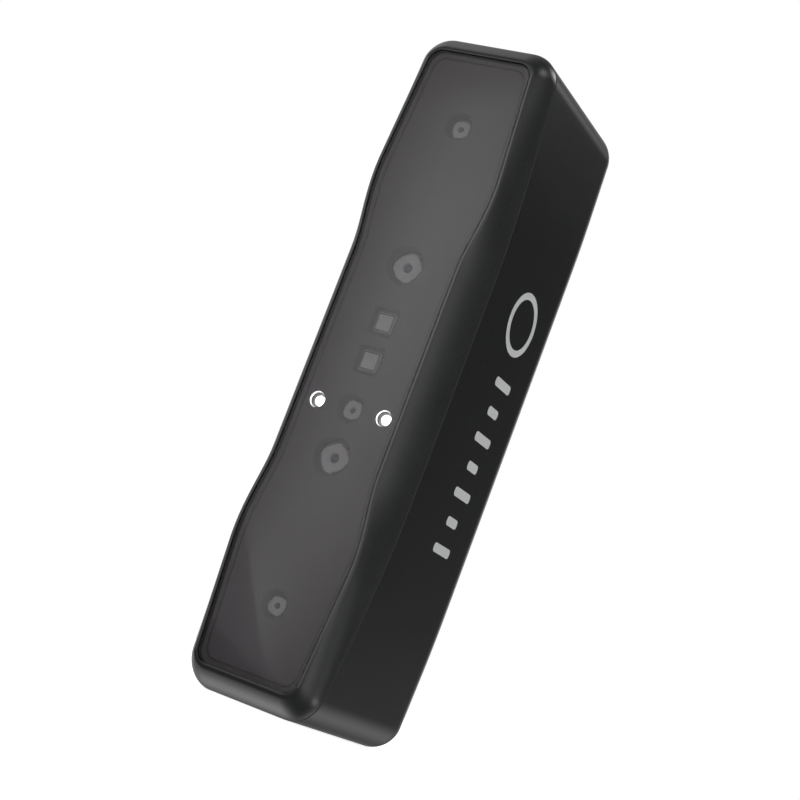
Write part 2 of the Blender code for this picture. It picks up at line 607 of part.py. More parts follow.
def make_lights():
    """Two white fill lights beside the colour lens: each has a sleeve, a clear pipe and an LED."""
    z = COLOUR_CAMERA_Z
    led_back = LED_BOARD_FRONT - THIN_GAP
    led_front = led_back - LED_THICKNESS
    pipe_back = led_front - THIN_GAP
    sleeve_back = pipe_back - THIN_GAP
    pipe, sleeve = LED_PIPE / 2, LED_SLEEVE / 2
    bore = pipe + THIN_GAP
    for name, x in LEDS:
        sleeve_rings = [
            circle(sleeve - SLEEVE_BEVEL, SLEEVE_FACE, x, z, 16),
            circle(sleeve, SLEEVE_FACE, x, z, 16),
            circle(sleeve, sleeve_back, x, z, 16),
            circle(bore, sleeve_back, x, z, 16),
            circle(bore, LENS_FACE, x, z, 16),
        ]
        ring_body(f"light_sleeve_{name}", sleeve_rings, "holder_black", closed=True)
        pipe_rings = [
            circle(pipe * 0.6, LENS_FACE - PIPE_CROWN, x, z, 16),
            circle(pipe, LENS_FACE, x, z, 16),
            circle(pipe, pipe_back, x, z, 16),
        ]
        ring_body(f"light_pipe_{name}", pipe_rings, "light_white")
        led = [rectangle(LED_SIDE, LED_SIDE, d, x, z) for d in (led_front, led_back)]
        ring_body(f"fill_led_{name}", led, "light_white")
    width = 2 * (LED_X + LED_BOARD_MARGIN)
    front, back = LED_BOARD_FRONT, LED_BOARD_FRONT + BOARD_THICKNESS
    rings = [rectangle(width, LED_BOARD_HEIGHT, d, z=z) for d in (front, back)]
    board = ring_body("led_board", rings, "board_green")
    clear = COLOUR_LENS / 2 + GAP
    hole = [circle(clear, d, z=z) for d in (front - OVERRUN, back + OVERRUN)]
    modify(board, many("led_board_hole", [hole]), "DIFFERENCE")


def make_bench():
    """An aluminium plate that holds every lens in line, with four standoffs for the main board."""

    def plate(depth):
        return rounded_rectangle(BENCH_WIDTH, BENCH_LENGTH, BENCH_CORNER, depth)

    bench = prism("optical_bench", plate, BENCH_DEPTH, BENCH_BACK, "cast_aluminium")
    ends = (BENCH_BACK - EMBED, BENCH_BACK + STANDOFF_LENGTH)
    posts = [[circle(STANDOFF_RADIUS, d, x, z, 16) for d in ends] for x, z in STANDOFFS]
    modify(bench, many("bench_standoffs", posts), "UNION")
    through = (BENCH_DEPTH - OVERRUN, BENCH_BACK + OVERRUN)
    cuts = [[circle(lens / 2 + GAP, d, z=z) for d in through] for _, z, lens, _ in CAMERAS]
    side = PROJECTOR_SIDE + 2 * (PROJECTOR_BODY_MARGIN + GAP)
    cuts += [[rectangle(side, side, d, z=z) for d in through] for _, z in PROJECTORS]
    hole = M2_SCREW[0] + GAP
    cuts += [[circle(hole, d, x, z, 12) for d in through] for x, z in BENCH_SCREWS]
    pilot = M2_SCREW[0] + PILOT_CLEARANCE
    pilot_ends = (ends[1] - M2_SCREW[3], ends[1] + OVERRUN)
    cuts += [[circle(pilot, d, x, z, 12) for d in pilot_ends] for x, z in STANDOFFS]
    modify(bench, many("bench_cuts", cuts), "DIFFERENCE")


# Shells


def make_housing():
    """A deep tube that runs from the seam to the rear cover, with the fixing points inside it."""
    middle_front = seam_depth(0.0)
    straight_end = BODY_DEPTH - REAR_RADIUS
    split = SPLIT_DEPTH - THIN_GAP / 2
    depths = (
        (middle_front + straight_end) / 2,
        straight_end,
        (straight_end + split) / 2,
        split,
    )
    rings = [seam_outline(0.0, THIN_GAP / 2)] + [body_outline(d) for d in depths]
    rings += [body_outline(d, WALL) for d in reversed(depths)] + [seam_outline(WALL, THIN_GAP / 2)]
    housing = ring_body("main_housing", rings, "satin_black", closed=True)

    inside = WALL / 2
    bar_front, bar_back = HOLDER_FRONT, HOLDER_FRONT + LEDGE_BAR_THICKNESS
    bar_width = 2 * (body_half_width(BENCH_SCREW_Z) - inside - LEDGE_BAR_CLEARANCE)
    boss_back = SPLIT_DEPTH - COVER_BOSS_BACKSET
    boss_front = boss_back - COVER_BOSS_LENGTH
    boss_end = LENGTH / 2 - body_inset(boss_back) - inside
    boss_low = COVER_SCREW_Z - COVER_BOSS_RADIUS
    bars = []
    for side in (1, -1):
        z, height = side * BENCH_SCREW_Z, LEDGE_BAR_HEIGHT
        bars.append([rectangle(bar_width, height, d, z=z) for d in (bar_front, bar_back)])
        z, height = side * (boss_low + boss_end) / 2, boss_end - boss_low
        bars.append([rectangle(2 * COVER_BOSS_RADIUS, height, d, z=z) for d in (boss_front, boss_back)])
    modify(housing, many("housing_bars", bars), "UNION")

    outside, bore_top = -LENGTH / 2 - OVERRUN, INSERT_Z + INSERT_LENGTH
    radius, wall = INSERT_RADIUS + GAP, INSERT_BOSS_WALL
    boss = upright("insert_boss", radius + wall, -LENGTH / 2 + inside, bore_top + INSERT_BOSS_END)
    modify(housing, boss, "UNION")
    modify(housing, upright("insert_bore", radius, outside, bore_top + GAP), "DIFFERENCE")
    slot = [usb_ring(GAP, outside), usb_ring(GAP, HOUSING_FLOOR_Z + OVERRUN)]
    modify(housing, many("usb_slot", [slot]), "DIFFERENCE")

    pilot, through = M2_SCREW[0] + PILOT_CLEARANCE, (bar_front - OVERRUN, bar_back + OVERRUN)
    holes = [[circle(pilot, d, x, z, 12) for d in through] for x, z in BENCH_SCREWS]
    pilot, through = COVER_SCREW[0] + PILOT_CLEARANCE, (boss_back - COVER_SCREW[3], boss_back + OVERRUN)
    holes += [[circle(pilot, d, 0, z, 12) for d in through] for z in COVER_SCREWS_Z]
    modify(housing, many("housing_holes", holes), "DIFFERENCE")


def upright(name, radius, low, high, sides=24):
    """A hidden round bar along z, on the tripod thread's centre line."""
    return many(name, [[upright_circle(radius, z, sides) for z in (low, high)]])


def upright_circle(radius, z, sides=24):
    turns = [2 * math.pi * (i + 0.5) / sides for i in range(sides)]
    return [(radius * math.cos(a), TRIPOD_DEPTH + radius * math.sin(a), z) for a in turns]


def usb_ring(grow, z):
    width, height = USB_SHELL[0] + 2 * grow, USB_SHELL[1] + 2 * grow
    return on_edge(rounded_rectangle(width, height, height * SLOT_ROUNDING, 0.0, steps=4), z)


def on_edge(ring, z):
    """A ring drawn facing the front, laid flat at this height round the connector's centre line."""
    return [(x, USB_DEPTH + across, z) for x, _, across in ring]


def make_rear_cover():
    """The rounded rear face, with openings for the buttons, the indicator, the vents and two screws."""
    front = SPLIT_DEPTH + THIN_GAP / 2
    start = math.asin((front - BODY_DEPTH + REAR_RADIUS) / REAR_RADIUS)
    arc = [start + (math.pi / 2 - start) * step / COVER_ARC_STEPS for step in range(COVER_ARC_STEPS + 1)]
    outer_depths = [BODY_DEPTH - REAR_RADIUS * (1 - math.sin(a)) for a in arc]
    inner_depths = (REAR_INNER, REAR_INNER - INNER_ROUNDING)
    outer = [body_outline(d) for d in outer_depths]
    inner = [at_depth(body_outline(d + WALL), d) for d in inner_depths]
    cover = ring_body("rear_cover", inner + [body_outline(front, WALL)] + outer, "satin_black")

    into_wall = REAR_INNER + EMBED
    post_ends = (SWITCH_FRONT, into_wall)
    screw_post_ends = (SPLIT_DEPTH - COVER_BOSS_BACKSET + GAP, into_wall)
    posts = [[circle(BOARD_POST_RADIUS, d, 0, z, 12) for d in post_ends] for z in BOARD_POSTS_Z]
    radius = COVER_SCREW[1] + COVER_POST_WALL
    posts += [[circle(radius, d, 0, z, 16) for d in screw_post_ends] for z in COVER_SCREWS_Z]
    modify(cover, many("cover_posts", posts), "UNION")

    outside = BODY_DEPTH + OVERRUN
    through = (STEM_FRONT, outside)
    cuts = [[circle(radius + BUTTON_CLEARANCE, d, 0, z, 24) for d in through] for _, z, radius in BUTTONS]
    cuts.append([indicator_ring(GAP, d) for d in through])
    for side in (1, -1):
        for row in range(VENT_COUNT):
            cuts.append([vent_ring(side * (VENT_START_Z + row * VENT_PITCH), d) for d in through])
    hole, hole_ends = COVER_SCREW[0] + GAP, (SPLIT_DEPTH - COVER_BOSS_BACKSET - OVERRUN, outside)
    cuts += [[circle(hole, d, 0, z, 16) for d in hole_ends] for z in COVER_SCREWS_Z]
    modify(cover, many("cover_cuts", cuts), "DIFFERENCE")
    seat, seat_ends = COVER_SCREW[1] + GAP, (COVER_SCREW_SEAT - GAP, outside)
    seats = [[circle(seat, d, 0, z, 16) for d in seat_ends] for z in COVER_SCREWS_Z]
    modify(cover, many("cover_screw_seats", seats), "DIFFERENCE")


def vent_ring(z, depth):
    return rounded_rectangle(VENT_WIDTH, VENT_HEIGHT, VENT_HEIGHT * SLOT_ROUNDING, depth, z=z)


def indicator_ring(grow, depth):
    width, height = INDICATOR_WIDTH + 2 * grow, INDICATOR_HEIGHT + 2 * grow
    return rounded_rectangle(width, height, height * SLOT_ROUNDING, depth, z=INDICATOR_Z)


def make_buttons():
    for name, z, radius in BUTTONS:
        profile = (
            (STEM_RADIUS, STEM_FRONT),
            (STEM_RADIUS, FLANGE_FRONT),
            (radius + BUTTON_FLANGE, FLANGE_FRONT),
            (radius + BUTTON_FLANGE, FLANGE_BACK),
            (radius, FLANGE_BACK),
            (radius, BUTTON_FACE - BUTTON_BEVEL),
            (radius - BUTTON_BEVEL, BUTTON_FACE),
        )
        rings = [circle(r, depth, z=z, sides=24) for r, depth in profile]
        ring_body(name, rings, "button_grey", origin=place(0, STEM_FRONT, z))
        body_back = SWITCH_BACK - SWITCH_CAP_HEIGHT
        side, cap = SWITCH_SIDE, SWITCH_CAP
        switch = [
            rectangle(side, side, SWITCH_FRONT, z=z),
            rectangle(side, side, body_back, z=z),
            rectangle(cap, cap, body_back, z=z),
            rectangle(cap, cap, SWITCH_BACK, z=z),
        ]
        ring_body(name.replace("button", "switch"), switch, "steel")


def make_indicator():
    profile = (
        (0.0, SWITCH_FRONT),
        (0.0, FLANGE_FRONT),
        (INDICATOR_FLANGE, FLANGE_FRONT),
        (INDICATOR_FLANGE, FLANGE_BACK),
        (0.0, FLANGE_BACK),
        (0.0, BODY_DEPTH),
    )
    ring_body("indicator_guide", [indicator_ring(grow, depth) for grow, depth in profile], "light_white")


# Electronics


def make_boards():
    width, height = MAIN_BOARD_WIDTH, MAIN_BOARD_HEIGHT
    ends = (MAIN_BOARD_FRONT, MAIN_BOARD_BACK)
    rings = [rounded_rectangle(width, height, BOARD_CORNER, d) for d in ends]
    board = ring_body("main_board", rings, "board_green")
    through = (MAIN_BOARD_FRONT - OVERRUN, MAIN_BOARD_BACK + OVERRUN)
    holes = [[circle(M2_SCREW[0] + GAP, d, x, z, 12) for d in through] for x, z in STANDOFFS]
    modify(board, many("main_board_holes", holes), "DIFFERENCE")

    width, height = BUTTON_BOARD_WIDTH, BUTTON_BOARD_HIGH - BUTTON_BOARD_LOW
    middle = (BUTTON_BOARD_HIGH + BUTTON_BOARD_LOW) / 2
    ends = (BUTTON_BOARD_DEPTH, BUTTON_BOARD_BACK)
    rings = [rounded_rectangle(width, height, BOARD_CORNER, d, z=middle) for d in ends]
    ring_body("button_board", rings, "board_green")

    width, height, thickness = USB_BOARD
    front = USB_DEPTH + USB_SHELL[1] / 2 + GAP
    middle = HOUSING_FLOOR_Z + GAP + height / 2
    rings = [rectangle(width, height, d, z=middle) for d in (front, front + thickness)]
    ring_body("usb_board", rings, "board_green")


def make_cooling():
    """A shield can on the processor, a soft pad and a finned heat sink behind it."""
    z = PROCESSOR_Z
    width, height, bevel = MAIN_BOARD_WIDTH - 2 * SHIELD_EDGE, SHIELD_HEIGHT, SHIELD_BEVEL
    front = MAIN_BOARD_BACK + GAP
    back = front + SHIELD_THICKNESS
    can = [
        rectangle(width, height, front, z=z),
        rectangle(width, height, back - bevel, z=z),
        rectangle(width - 2 * bevel, height - 2 * bevel, back, z=z),
    ]
    ring_body("processor_shield", can, "steel")
    width, front = MAIN_BOARD_WIDTH - 2 * PAD_EDGE, back + GAP
    back = front + PAD_THICKNESS
    ring_body("thermal_pad", [rectangle(width, PAD_HEIGHT, d, z=z) for d in (front, back)], "pad_blue")

    width, front = MAIN_BOARD_WIDTH - 2 * HEAT_SINK_EDGE, back + GAP
    base, back = front + HEAT_SINK_BASE, front + HEAT_SINK_DEPTH
    pitch = (width - FIN_THICKNESS) / (FIN_COUNT - 1)
    comb = [(-width / 2, front), (width / 2, front)]
    for fin in reversed(range(FIN_COUNT)):
        left = -width / 2 + fin * pitch
        right = left + FIN_THICKNESS
        comb += [(right, back), (left, back)]
        if fin:
            comb += [(left, base), (left - pitch + FIN_THICKNESS, base)]
    ends = (z - HEAT_SINK_HEIGHT / 2, z + HEAT_SINK_HEIGHT / 2)
    ring_body("heat_sink", [[(x, d, end) for x, d in comb] for end in ends], "cast_aluminium")


def make_usb():
    mouth = -LENGTH / 2 + THIN_GAP
    end = mouth + USB_SHELL[2]
    floor = end - USB_BACK_WALL
    width, thickness = USB_TONGUE
    tongue = rounded_rectangle(width, thickness, thickness * SLOT_ROUNDING, 0.0, steps=4)
    rings = [
        usb_ring(0.0, end),
        usb_ring(0.0, mouth),
        usb_ring(-USB_WALL, mouth),
        usb_ring(-USB_WALL, floor),
        on_edge(tongue, floor),
        on_edge(tongue, mouth + USB_TONGUE_SINK),
    ]
    ring_body("usb_c_receptacle", rings, "steel")


def make_insert():
    """A brass insert for the tripod screw, open through its length."""
    top, bore = INSERT_Z + INSERT_LENGTH, TRIPOD_BORE / 2
    profile = (
        (INSERT_RADIUS, INSERT_Z),
        (INSERT_RADIUS, top),
        (bore, top),
        (bore, INSERT_Z + TRIPOD_CHAMFER),
        (bore + TRIPOD_CHAMFER, INSERT_Z),
    )
    ring_body("tripod_insert", [upright_circle(r, z) for r, z in profile], "brass", closed=True)


def make_flex():
    """A flat cable that folds from the main board back to the button board."""
    top, radius = BUTTON_BOARD_HIGH - OVERRUN, FLEX_BEND
    start, end = MAIN_BOARD_BACK + GAP, BUTTON_BOARD_DEPTH - GAP
    quarter = [math.pi / 2 * step / FLEX_BEND_STEPS for step in range(FLEX_BEND_STEPS + 1)]
    path = [(start, top - FLEX_DROP)]
    path += [(start + radius * (1 - math.cos(a)), top - radius * (1 - math.sin(a))) for a in quarter]
    path += [(end - radius * (1 - math.sin(a)), top - radius * (1 - math.cos(a))) for a in quarter]
    path.append((end, top - FLEX_TAIL))
    normals = []
    for i in range(len(path)):
        before, after = path[max(i - 1, 0)], path[min(i + 1, len(path) - 1)]
        along = Vector((after[0] - before[0], after[1] - before[1])).normalized()
        normals.append(Vector((along.y, -along.x)))
    inner = [(d + n.x * FLEX_THICKNESS, z + n.y * FLEX_THICKNESS) for (d, z), n in zip(path, normals)]
    section = path + inner[::-1]
    rings = [[(x, d, z) for d, z in section] for x in (-FLEX_WIDTH / 2, FLEX_WIDTH / 2)]
    ring_body("button_flex", rings, "flex_amber")


def make_screw(name, x, z, seat, sizes, facing):
    """A socket screw along the depth. facing is 1 with its head towards the rear, -1 towards the front."""
    shank, head, head_height, length = sizes
    profile = (
        (shank * 0.7, -length),
        (shank, SCREW_TIP - length),
        (shank, 0.0),
        (head, 0.0),
        (head, head_height - SCREW_BEVEL),
        (head - SCREW_BEVEL, head_height),
        (head * HEX_SHARE, head_height),
        (head * HEX_SHARE, head_height * (1 - HEX_DEPTH_SHARE)),
    )
    ring_body(name, [circle(r, seat + facing * along, x, z, 10) for r, along in profile], "steel")


def corner_name(x, z):
    return f"{'upper' if z > 0 else 'lower'}_{'right' if x > 0 else 'left'}"


def make_screws():
    for x, z in BENCH_SCREWS:
        make_screw(f"bench_screw_{corner_name(x, z)}", x, z, BENCH_DEPTH - THIN_GAP, M2_SCREW, -1)
    for x, z in STANDOFFS:
        make_screw(f"board_screw_{corner_name(x, z)}", x, z, MAIN_BOARD_BACK + THIN_GAP, M2_SCREW, 1)
    for name, z in zip(("upper", "lower"), COVER_SCREWS_Z):
        make_screw(f"cover_screw_{name}", 0.0, z, COVER_SCREW_SEAT, COVER_SCREW, 1)


def main():
    clear_scene()
    make_window()
    make_bezel()
    make_mask()
    for camera in CAMERAS:
        make_camera(*camera)
    make_projectors()
    make_lights()
    make_bench()
    make_housing()
    make_rear_cover()
    make_buttons()
    make_indicator()
    make_boards()
    make_cooling()
    make_usb()
    make_insert()
    make_flex()
    make_screws()


main()
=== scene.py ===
"""The looks of the handheld scanner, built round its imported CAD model.

Lengths here are millimetres and a point is (x, depth, z): depth is measured back from the front of the
window rim, and z up from the middle of the body. place() turns a point into the frame's metres. Each fine
piece reads the box of the CAD node that it stands for.
"""

import json
import math
from types import SimpleNamespace

import bmesh
import bpy
from mathutils import Matrix, Vector


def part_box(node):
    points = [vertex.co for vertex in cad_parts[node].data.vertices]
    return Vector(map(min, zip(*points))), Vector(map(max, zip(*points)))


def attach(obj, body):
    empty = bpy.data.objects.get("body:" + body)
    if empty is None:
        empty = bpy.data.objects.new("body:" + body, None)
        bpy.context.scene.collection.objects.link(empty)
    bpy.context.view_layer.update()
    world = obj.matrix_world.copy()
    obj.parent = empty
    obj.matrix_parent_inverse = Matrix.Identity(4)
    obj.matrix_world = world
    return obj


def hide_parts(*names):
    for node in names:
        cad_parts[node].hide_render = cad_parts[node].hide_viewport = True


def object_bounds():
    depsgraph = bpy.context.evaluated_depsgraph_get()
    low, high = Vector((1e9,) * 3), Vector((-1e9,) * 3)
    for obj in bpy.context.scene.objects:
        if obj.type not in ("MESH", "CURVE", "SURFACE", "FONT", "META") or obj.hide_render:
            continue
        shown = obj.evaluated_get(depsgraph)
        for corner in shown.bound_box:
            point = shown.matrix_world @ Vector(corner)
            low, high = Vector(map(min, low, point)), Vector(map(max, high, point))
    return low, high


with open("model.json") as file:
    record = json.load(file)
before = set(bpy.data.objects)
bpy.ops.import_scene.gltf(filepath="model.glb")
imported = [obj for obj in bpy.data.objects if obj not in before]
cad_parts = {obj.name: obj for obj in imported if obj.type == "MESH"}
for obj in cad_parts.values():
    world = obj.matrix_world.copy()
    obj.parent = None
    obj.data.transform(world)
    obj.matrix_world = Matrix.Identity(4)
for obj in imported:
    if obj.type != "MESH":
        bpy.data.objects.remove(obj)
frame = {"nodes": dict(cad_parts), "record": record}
cad_low, cad_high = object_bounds()

MM = 0.001
MIDDLE_Z = (cad_low.z + cad_high.z) / 2
SHARP_ANGLE = math.radians(32)


def place(x, depth, z):
    return Vector((x * MM, cad_low.y + depth * MM, MIDDLE_Z + z * MM))


def box_of(node):
    """Where a CAD node is, in this script's own units."""
    low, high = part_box(node)
    return SimpleNamespace(
        x=(low.x + high.x) / 2 / MM,
        z=((low.z + high.z) / 2 - MIDDLE_Z) / MM,
        bottom=(low.z - MIDDLE_Z) / MM,
        top=(high.z - MIDDLE_Z) / MM,
        front=(low.y - cad_low.y) / MM,
        back=(high.y - cad_low.y) / MM,
        width=(high.x - low.x) / MM,
        height=(high.z - low.z) / MM,
    )


HOUSING = box_of("main_housing")
COVER = box_of("rear_cover")
GLASS = box_of("front_window")
MASK = box_of("optics_mask")
INDICATOR = box_of("indicator_guide")
USB = box_of("usb_c_receptacle")

# Body outlines
LENGTH = HOUSING.height
WIDTH = HOUSING.width
END_LEAN = 1.2  # how far each side has leaned in by the ends
LEAN_RUN = 30.0
LEAN_BLEND = 6.0
BODY_DEPTH = COVER.back
SEAM_GAP = 0.2
END_SEAM_DEPTH = HOUSING.front - SEAM_GAP / 2
SEAM_BOW = 5.6  # how much further back the seam runs along the middle
SEAM_BOW_RUN = 49.0
CORNER_RADIUS = 7.2
REAR_RADIUS = 10.0
REAR_CORNER_RADIUS = 3.0
WALL = 1.9
EDGE = 0.16  # small rounding where two shells meet

# Window rim
GLASS_GAP = 0.25
RIM_LENGTH = GLASS.height + 2 * GLASS_GAP
WAIST_WIDTH = 28.5
LOBE_END_WIDTH = 28.1
LOBE_TAPER = 0.0735
WAIST_HALF_LENGTH = 26.0
SHOULDER_LENGTH = 25.0
RIM_CORNER_RADIUS = 3.6
RIM_WIDTH = 0.75
FLARE_START, FLARE_END = math.radians(35), math.radians(80)
FLARE_STEPS = 22
LEDGE_REACH = 1.55  # how far the bezel's ledge runs in behind the glass

SIDE_STEPS = 72
CORNER_STEPS = 14
RIM_LIP = 0.1

# Rear cover
COVER_INNER = BODY_DEPTH - WALL
BUTTON_FLANGE = 1.0
BUTTONS = ("plus_button", "scan_button", "minus_button")
VENT_WIDTH, VENT_HEIGHT = 11.0, 1.5
SLOT_ROUNDING = 0.49  # corner radius of a slot as a share of its height
SCREW_HEAD = 1.3


# Shapes


def circle(radius, depth, x=0.0, z=0.0, sides=64):
    turns = [2 * math.pi * (i + 0.5) / sides for i in range(sides)]
    return [(x + radius * math.cos(a), depth, z + radius * math.sin(a)) for a in turns]


def rounded_rectangle(width, height, radius, depth, x=0.0, z=0.0, steps=6):
    points = []
    for quarter, (sx, sz) in enumerate(((1, 1), (-1, 1), (-1, -1), (1, -1))):
        centre_x, centre_z = x + sx * (width / 2 - radius), z + sz * (height / 2 - radius)
        for step in range(steps + 1):
            a = math.pi / 2 * (quarter + step / steps)
            points.append((centre_x + radius * math.cos(a), depth, centre_z + radius * math.sin(a)))
    return points


def smoothstep(t):
    t = min(max(t, 0.0), 1.0)
    return t * t * (3 - 2 * t)


def hinge(distance, blend):
    """Zero before its bend, then a straight line, with a soft change between them."""
    return (distance + math.sqrt(distance * distance + blend * blend)) / 2


def rim_half_width(z):
    lobe = LOBE_END_WIDTH / 2 + LOBE_TAPER * (RIM_LENGTH / 2 - abs(z))
    blend = smoothstep((abs(z) - WAIST_HALF_LENGTH) / SHOULDER_LENGTH)
    return WAIST_WIDTH / 2 + (lobe - WAIST_WIDTH / 2) * blend


def end_change(z, run):
    """Zero along the middle, then a straight rise to one at each end, over the last run of the length."""
    straight = LENGTH / 2 - run
    return hinge(abs(z) - straight, LEAN_BLEND) / hinge(run, LEAN_BLEND)


def body_half_width(z):
    return WIDTH / 2 - END_LEAN * end_change(z, LEAN_RUN)


def seam_depth(z):
    """Where the bezel meets the housing: furthest back along the waist."""
    return END_SEAM_DEPTH + SEAM_BOW * (1 - end_change(z, SEAM_BOW_RUN))


def outline(half_width, half_length, radius, offset=0.0):
    """A ring of (x, z): the sides follow half_width(z) and the corners are round. offset grows it."""
    radius = max(radius + offset, REAR_CORNER_RADIUS)
    top = half_length + offset - radius

    def side(z):
        return half_width(z) + offset

    heights = [top * (1 - 2 * i / SIDE_STEPS) for i in range(SIDE_STEPS + 1)]
    right = [(side(z), z) for z in heights]
    corner_x = side(top) - radius
    lean = (side(top) - side(top - 1.0)) * radius
    upper = []
    for step in range(1, CORNER_STEPS + 1):
        a = math.pi / 2 * step / CORNER_STEPS
        across = radius * math.cos(a) + lean * math.sin(a) * math.cos(a)
        upper.append((corner_x + across, top + radius * math.sin(a)))
    half = [(x, z) for x, z in reversed(upper)] + right + [(x, -z) for x, z in upper]
    return half + [(-x, z) for x, z in reversed(half)]


def rim_outline(offset, depth):
    return [(x, depth, z) for x, z in outline(rim_half_width, RIM_LENGTH / 2, RIM_CORNER_RADIUS, offset)]


def body_inset(depth):
    """How far the rear rounding has drawn the surface in."""
    into = depth - (BODY_DEPTH - REAR_RADIUS)
    return 0.0 if into <= 0 else REAR_RADIUS - math.sqrt(max(REAR_RADIUS**2 - into**2, 0.0))


def body_outline(depth, inset=0.0):
    offset = -body_inset(depth) - inset
    return [(x, depth, z) for x, z in outline(body_half_width, LENGTH / 2, CORNER_RADIUS, offset)]


def seam_outline(inset, offset):
    """The body's outline along the seam, moved back by offset."""
    outer, inner = body_outline(0.0), body_outline(0.0, inset)
    return [(x, seam_depth(z) + offset, inner_z) for (x, _, inner_z), (_, _, z) in zip(inner, outer)]


def between(first, second, share, down=None):
    """A ring part of the way from one ring to another. down is its own share of the change in depth."""
    down = share if down is None else down
    shares = (share, down, share)
    return [tuple(a + (b - a) * t for a, b, t in zip(p, q, shares)) for p, q in zip(first, second)]


def at_depth(ring, depth):
    return [(x, depth, z) for x, _, z in ring]


# Solids


class Solid:
    """A mesh under construction, made of lofted rings."""

    def __init__(self):
        self.bm = bmesh.new()

    def loft(self, rings, closed=False, finish=0, capped=True):
        loops = [[self.bm.verts.new(place(*point)) for point in ring] for ring in rings]
        pairs = list(zip(loops, loops[1:])) + ([(loops[-1], loops[0])] if closed else [])
        made = []
        for first, second in pairs:
            for i in range(len(first)):
                j = (i + 1) % len(first)
                made.append(self.bm.faces.new((first[i], first[j], second[j], second[i])))
        if capped and not closed:
            made.append(self.bm.faces.new(loops[0][::-1]))
            made.append(self.bm.faces.new(loops[-1]))
        for face in made:
            face.material_index = finish
        return self

    def object(self, name, finishes=()):
        bmesh.ops.recalc_face_normals(self.bm, faces=self.bm.faces)
        if self.bm.calc_volume(signed=True) < 0:
            bmesh.ops.reverse_faces(self.bm, faces=self.bm.faces)
        mesh = bpy.data.meshes.new(name)
        self.bm.to_mesh(mesh)
        self.bm.free()
        made = bpy.data.objects.new(name, mesh)
        bpy.context.scene.collection.objects.link(made)
        for finish in finishes:
            mesh.materials.append(finish)
        smooth(made)
        return made


def smooth(piece):
    piece.data.shade_smooth()
    piece.data.set_sharp_from_angle(angle=SHARP_ANGLE)


def combine(piece, *steps):
    """Adds or cuts away hidden tools, each given as (operation, solid), and leaves a plain mesh."""
    tools = []
    for operation, solid in steps:
        tool = solid.object("tool")
        boolean = piece.modifiers.new(operation, "BOOLEAN")
        boolean.operation = operation
        boolean.object = tool
        tools.append(tool)
    graph = bpy.context.evaluated_depsgraph_get()
    mesh = bpy.data.meshes.new_from_object(piece.evaluated_get(graph))
    piece.modifiers.clear()
    piece.data = mesh
    for tool in tools:
        bpy.data.objects.remove(tool, do_unlink=True)
    smooth(piece)
    return keep_flats_flat(piece)


def keep_flats_flat(piece):
    """Weights the shading by face area, so that a rounding doesn't streak the flat face beside it."""
    weighted = piece.modifiers.new("weighted", "WEIGHTED_NORMAL")
    weighted.mode = "FACE_AREA"
    weighted.keep_sharp = True
    graph = bpy.context.evaluated_depsgraph_get()
    shown = piece.evaluated_get(graph)
    mesh = bpy.data.meshes.new_from_object(shown, preserve_all_data_layers=True, depsgraph=graph)
    piece.modifiers.clear()
    piece.data = mesh
    return piece


def fit(piece, slot, *nodes, body="root"):
    """Puts a finished piece on its body, in place of the CAD nodes that it stands for."""
    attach(piece, body)
    if nodes:
        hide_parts(*nodes)
    return piece


# Materials


def wire(tree, kind, settings=None, **inputs):
    """One node, with its settings and inputs: a value is set on the socket, and a socket is linked to it."""
    made = tree.nodes.new(kind)
    for key, value in (settings or {}).items():
        setattr(made, key, value)
    for key, value in inputs.items():
        socket = made.inputs[int(key[1:])] if key[1:].isdigit() else made.inputs[key.replace("_", " ")]
        if isinstance(value, bpy.types.NodeSocket):
            tree.links.new(value, socket)
        else:
            socket.default_value = value
    return made


def new_material(name):
    made = bpy.data.materials.new(name)
    made.use_nodes = True
    tree = made.node_tree
    return made, tree, tree.nodes["Principled BSDF"]


def position(tree):
    return wire(tree, "ShaderNodeTexCoord").outputs["Object"]


def noise(tree, size, detail=2.0, where=None, roughness=0.5):
    """Noise whose features are about size millimetres across, from 0 to 1."""
    scale = 1.0 / (size * MM)
    where = where or position(tree)
    settings = {"Scale": scale, "Detail": detail, "Roughness": roughness}
    return wire(tree, "ShaderNodeTexNoise", Vector=where, **settings).outputs[0]


def spread(tree, value, low, high, start=0.25, end=0.75):
    ranged = wire(
        tree, "ShaderNodeMapRange", Value=value, From_Min=start, From_Max=end, To_Min=low, To_Max=high
    )
    return ranged.outputs[0]


def tint(tree, colour, share):
    """The colour made lighter or darker by share, a socket near 1."""
    mixed = wire(tree, "ShaderNodeVectorMath", {"operation": "SCALE"}, _0=colour[:3], Scale=share)
    return mixed.outputs[0]


def bump(tree, height, depth):
    """A bump whose full height is depth millimetres."""
    return wire(tree, "ShaderNodeBump", Strength=1.0, Distance=depth * MM, Height=height).outputs[0]


def moulded(
    name, colour, roughness, grain=0.45, grain_depth=0.004, uneven=0.16, gloss_change=0.06, **sockets
):
    """Moulded plastic, rubber or paint: a fine grain, faint cloudiness and uneven gloss."""
    made, tree, shader = new_material(name)
    link = tree.links.new
    cloud = spread(tree, noise(tree, 14.0, 3.0), 1 - uneven, 1 + uneven)
    speck = spread(tree, noise(tree, 0.5, 1.0), 1 - uneven / 2, 1 + uneven / 2)
    share = wire(tree, "ShaderNodeMath", {"operation": "MULTIPLY"}, _0=cloud, _1=speck).outputs[0]
    link(tint(tree, colour, share), shader.inputs["Base Color"])
    patchy = noise(tree, 5.0, 4.0, roughness=0.6)
    link(spread(tree, patchy, roughness - gloss_change, roughness + gloss_change), shader.inputs["Roughness"])
    if grain_depth:
        link(bump(tree, noise(tree, grain, 2.0), grain_depth), shader.inputs["Normal"])
    for key, value in sockets.items():
        shader.inputs[key.replace("_", " ")].default_value = value
    return made


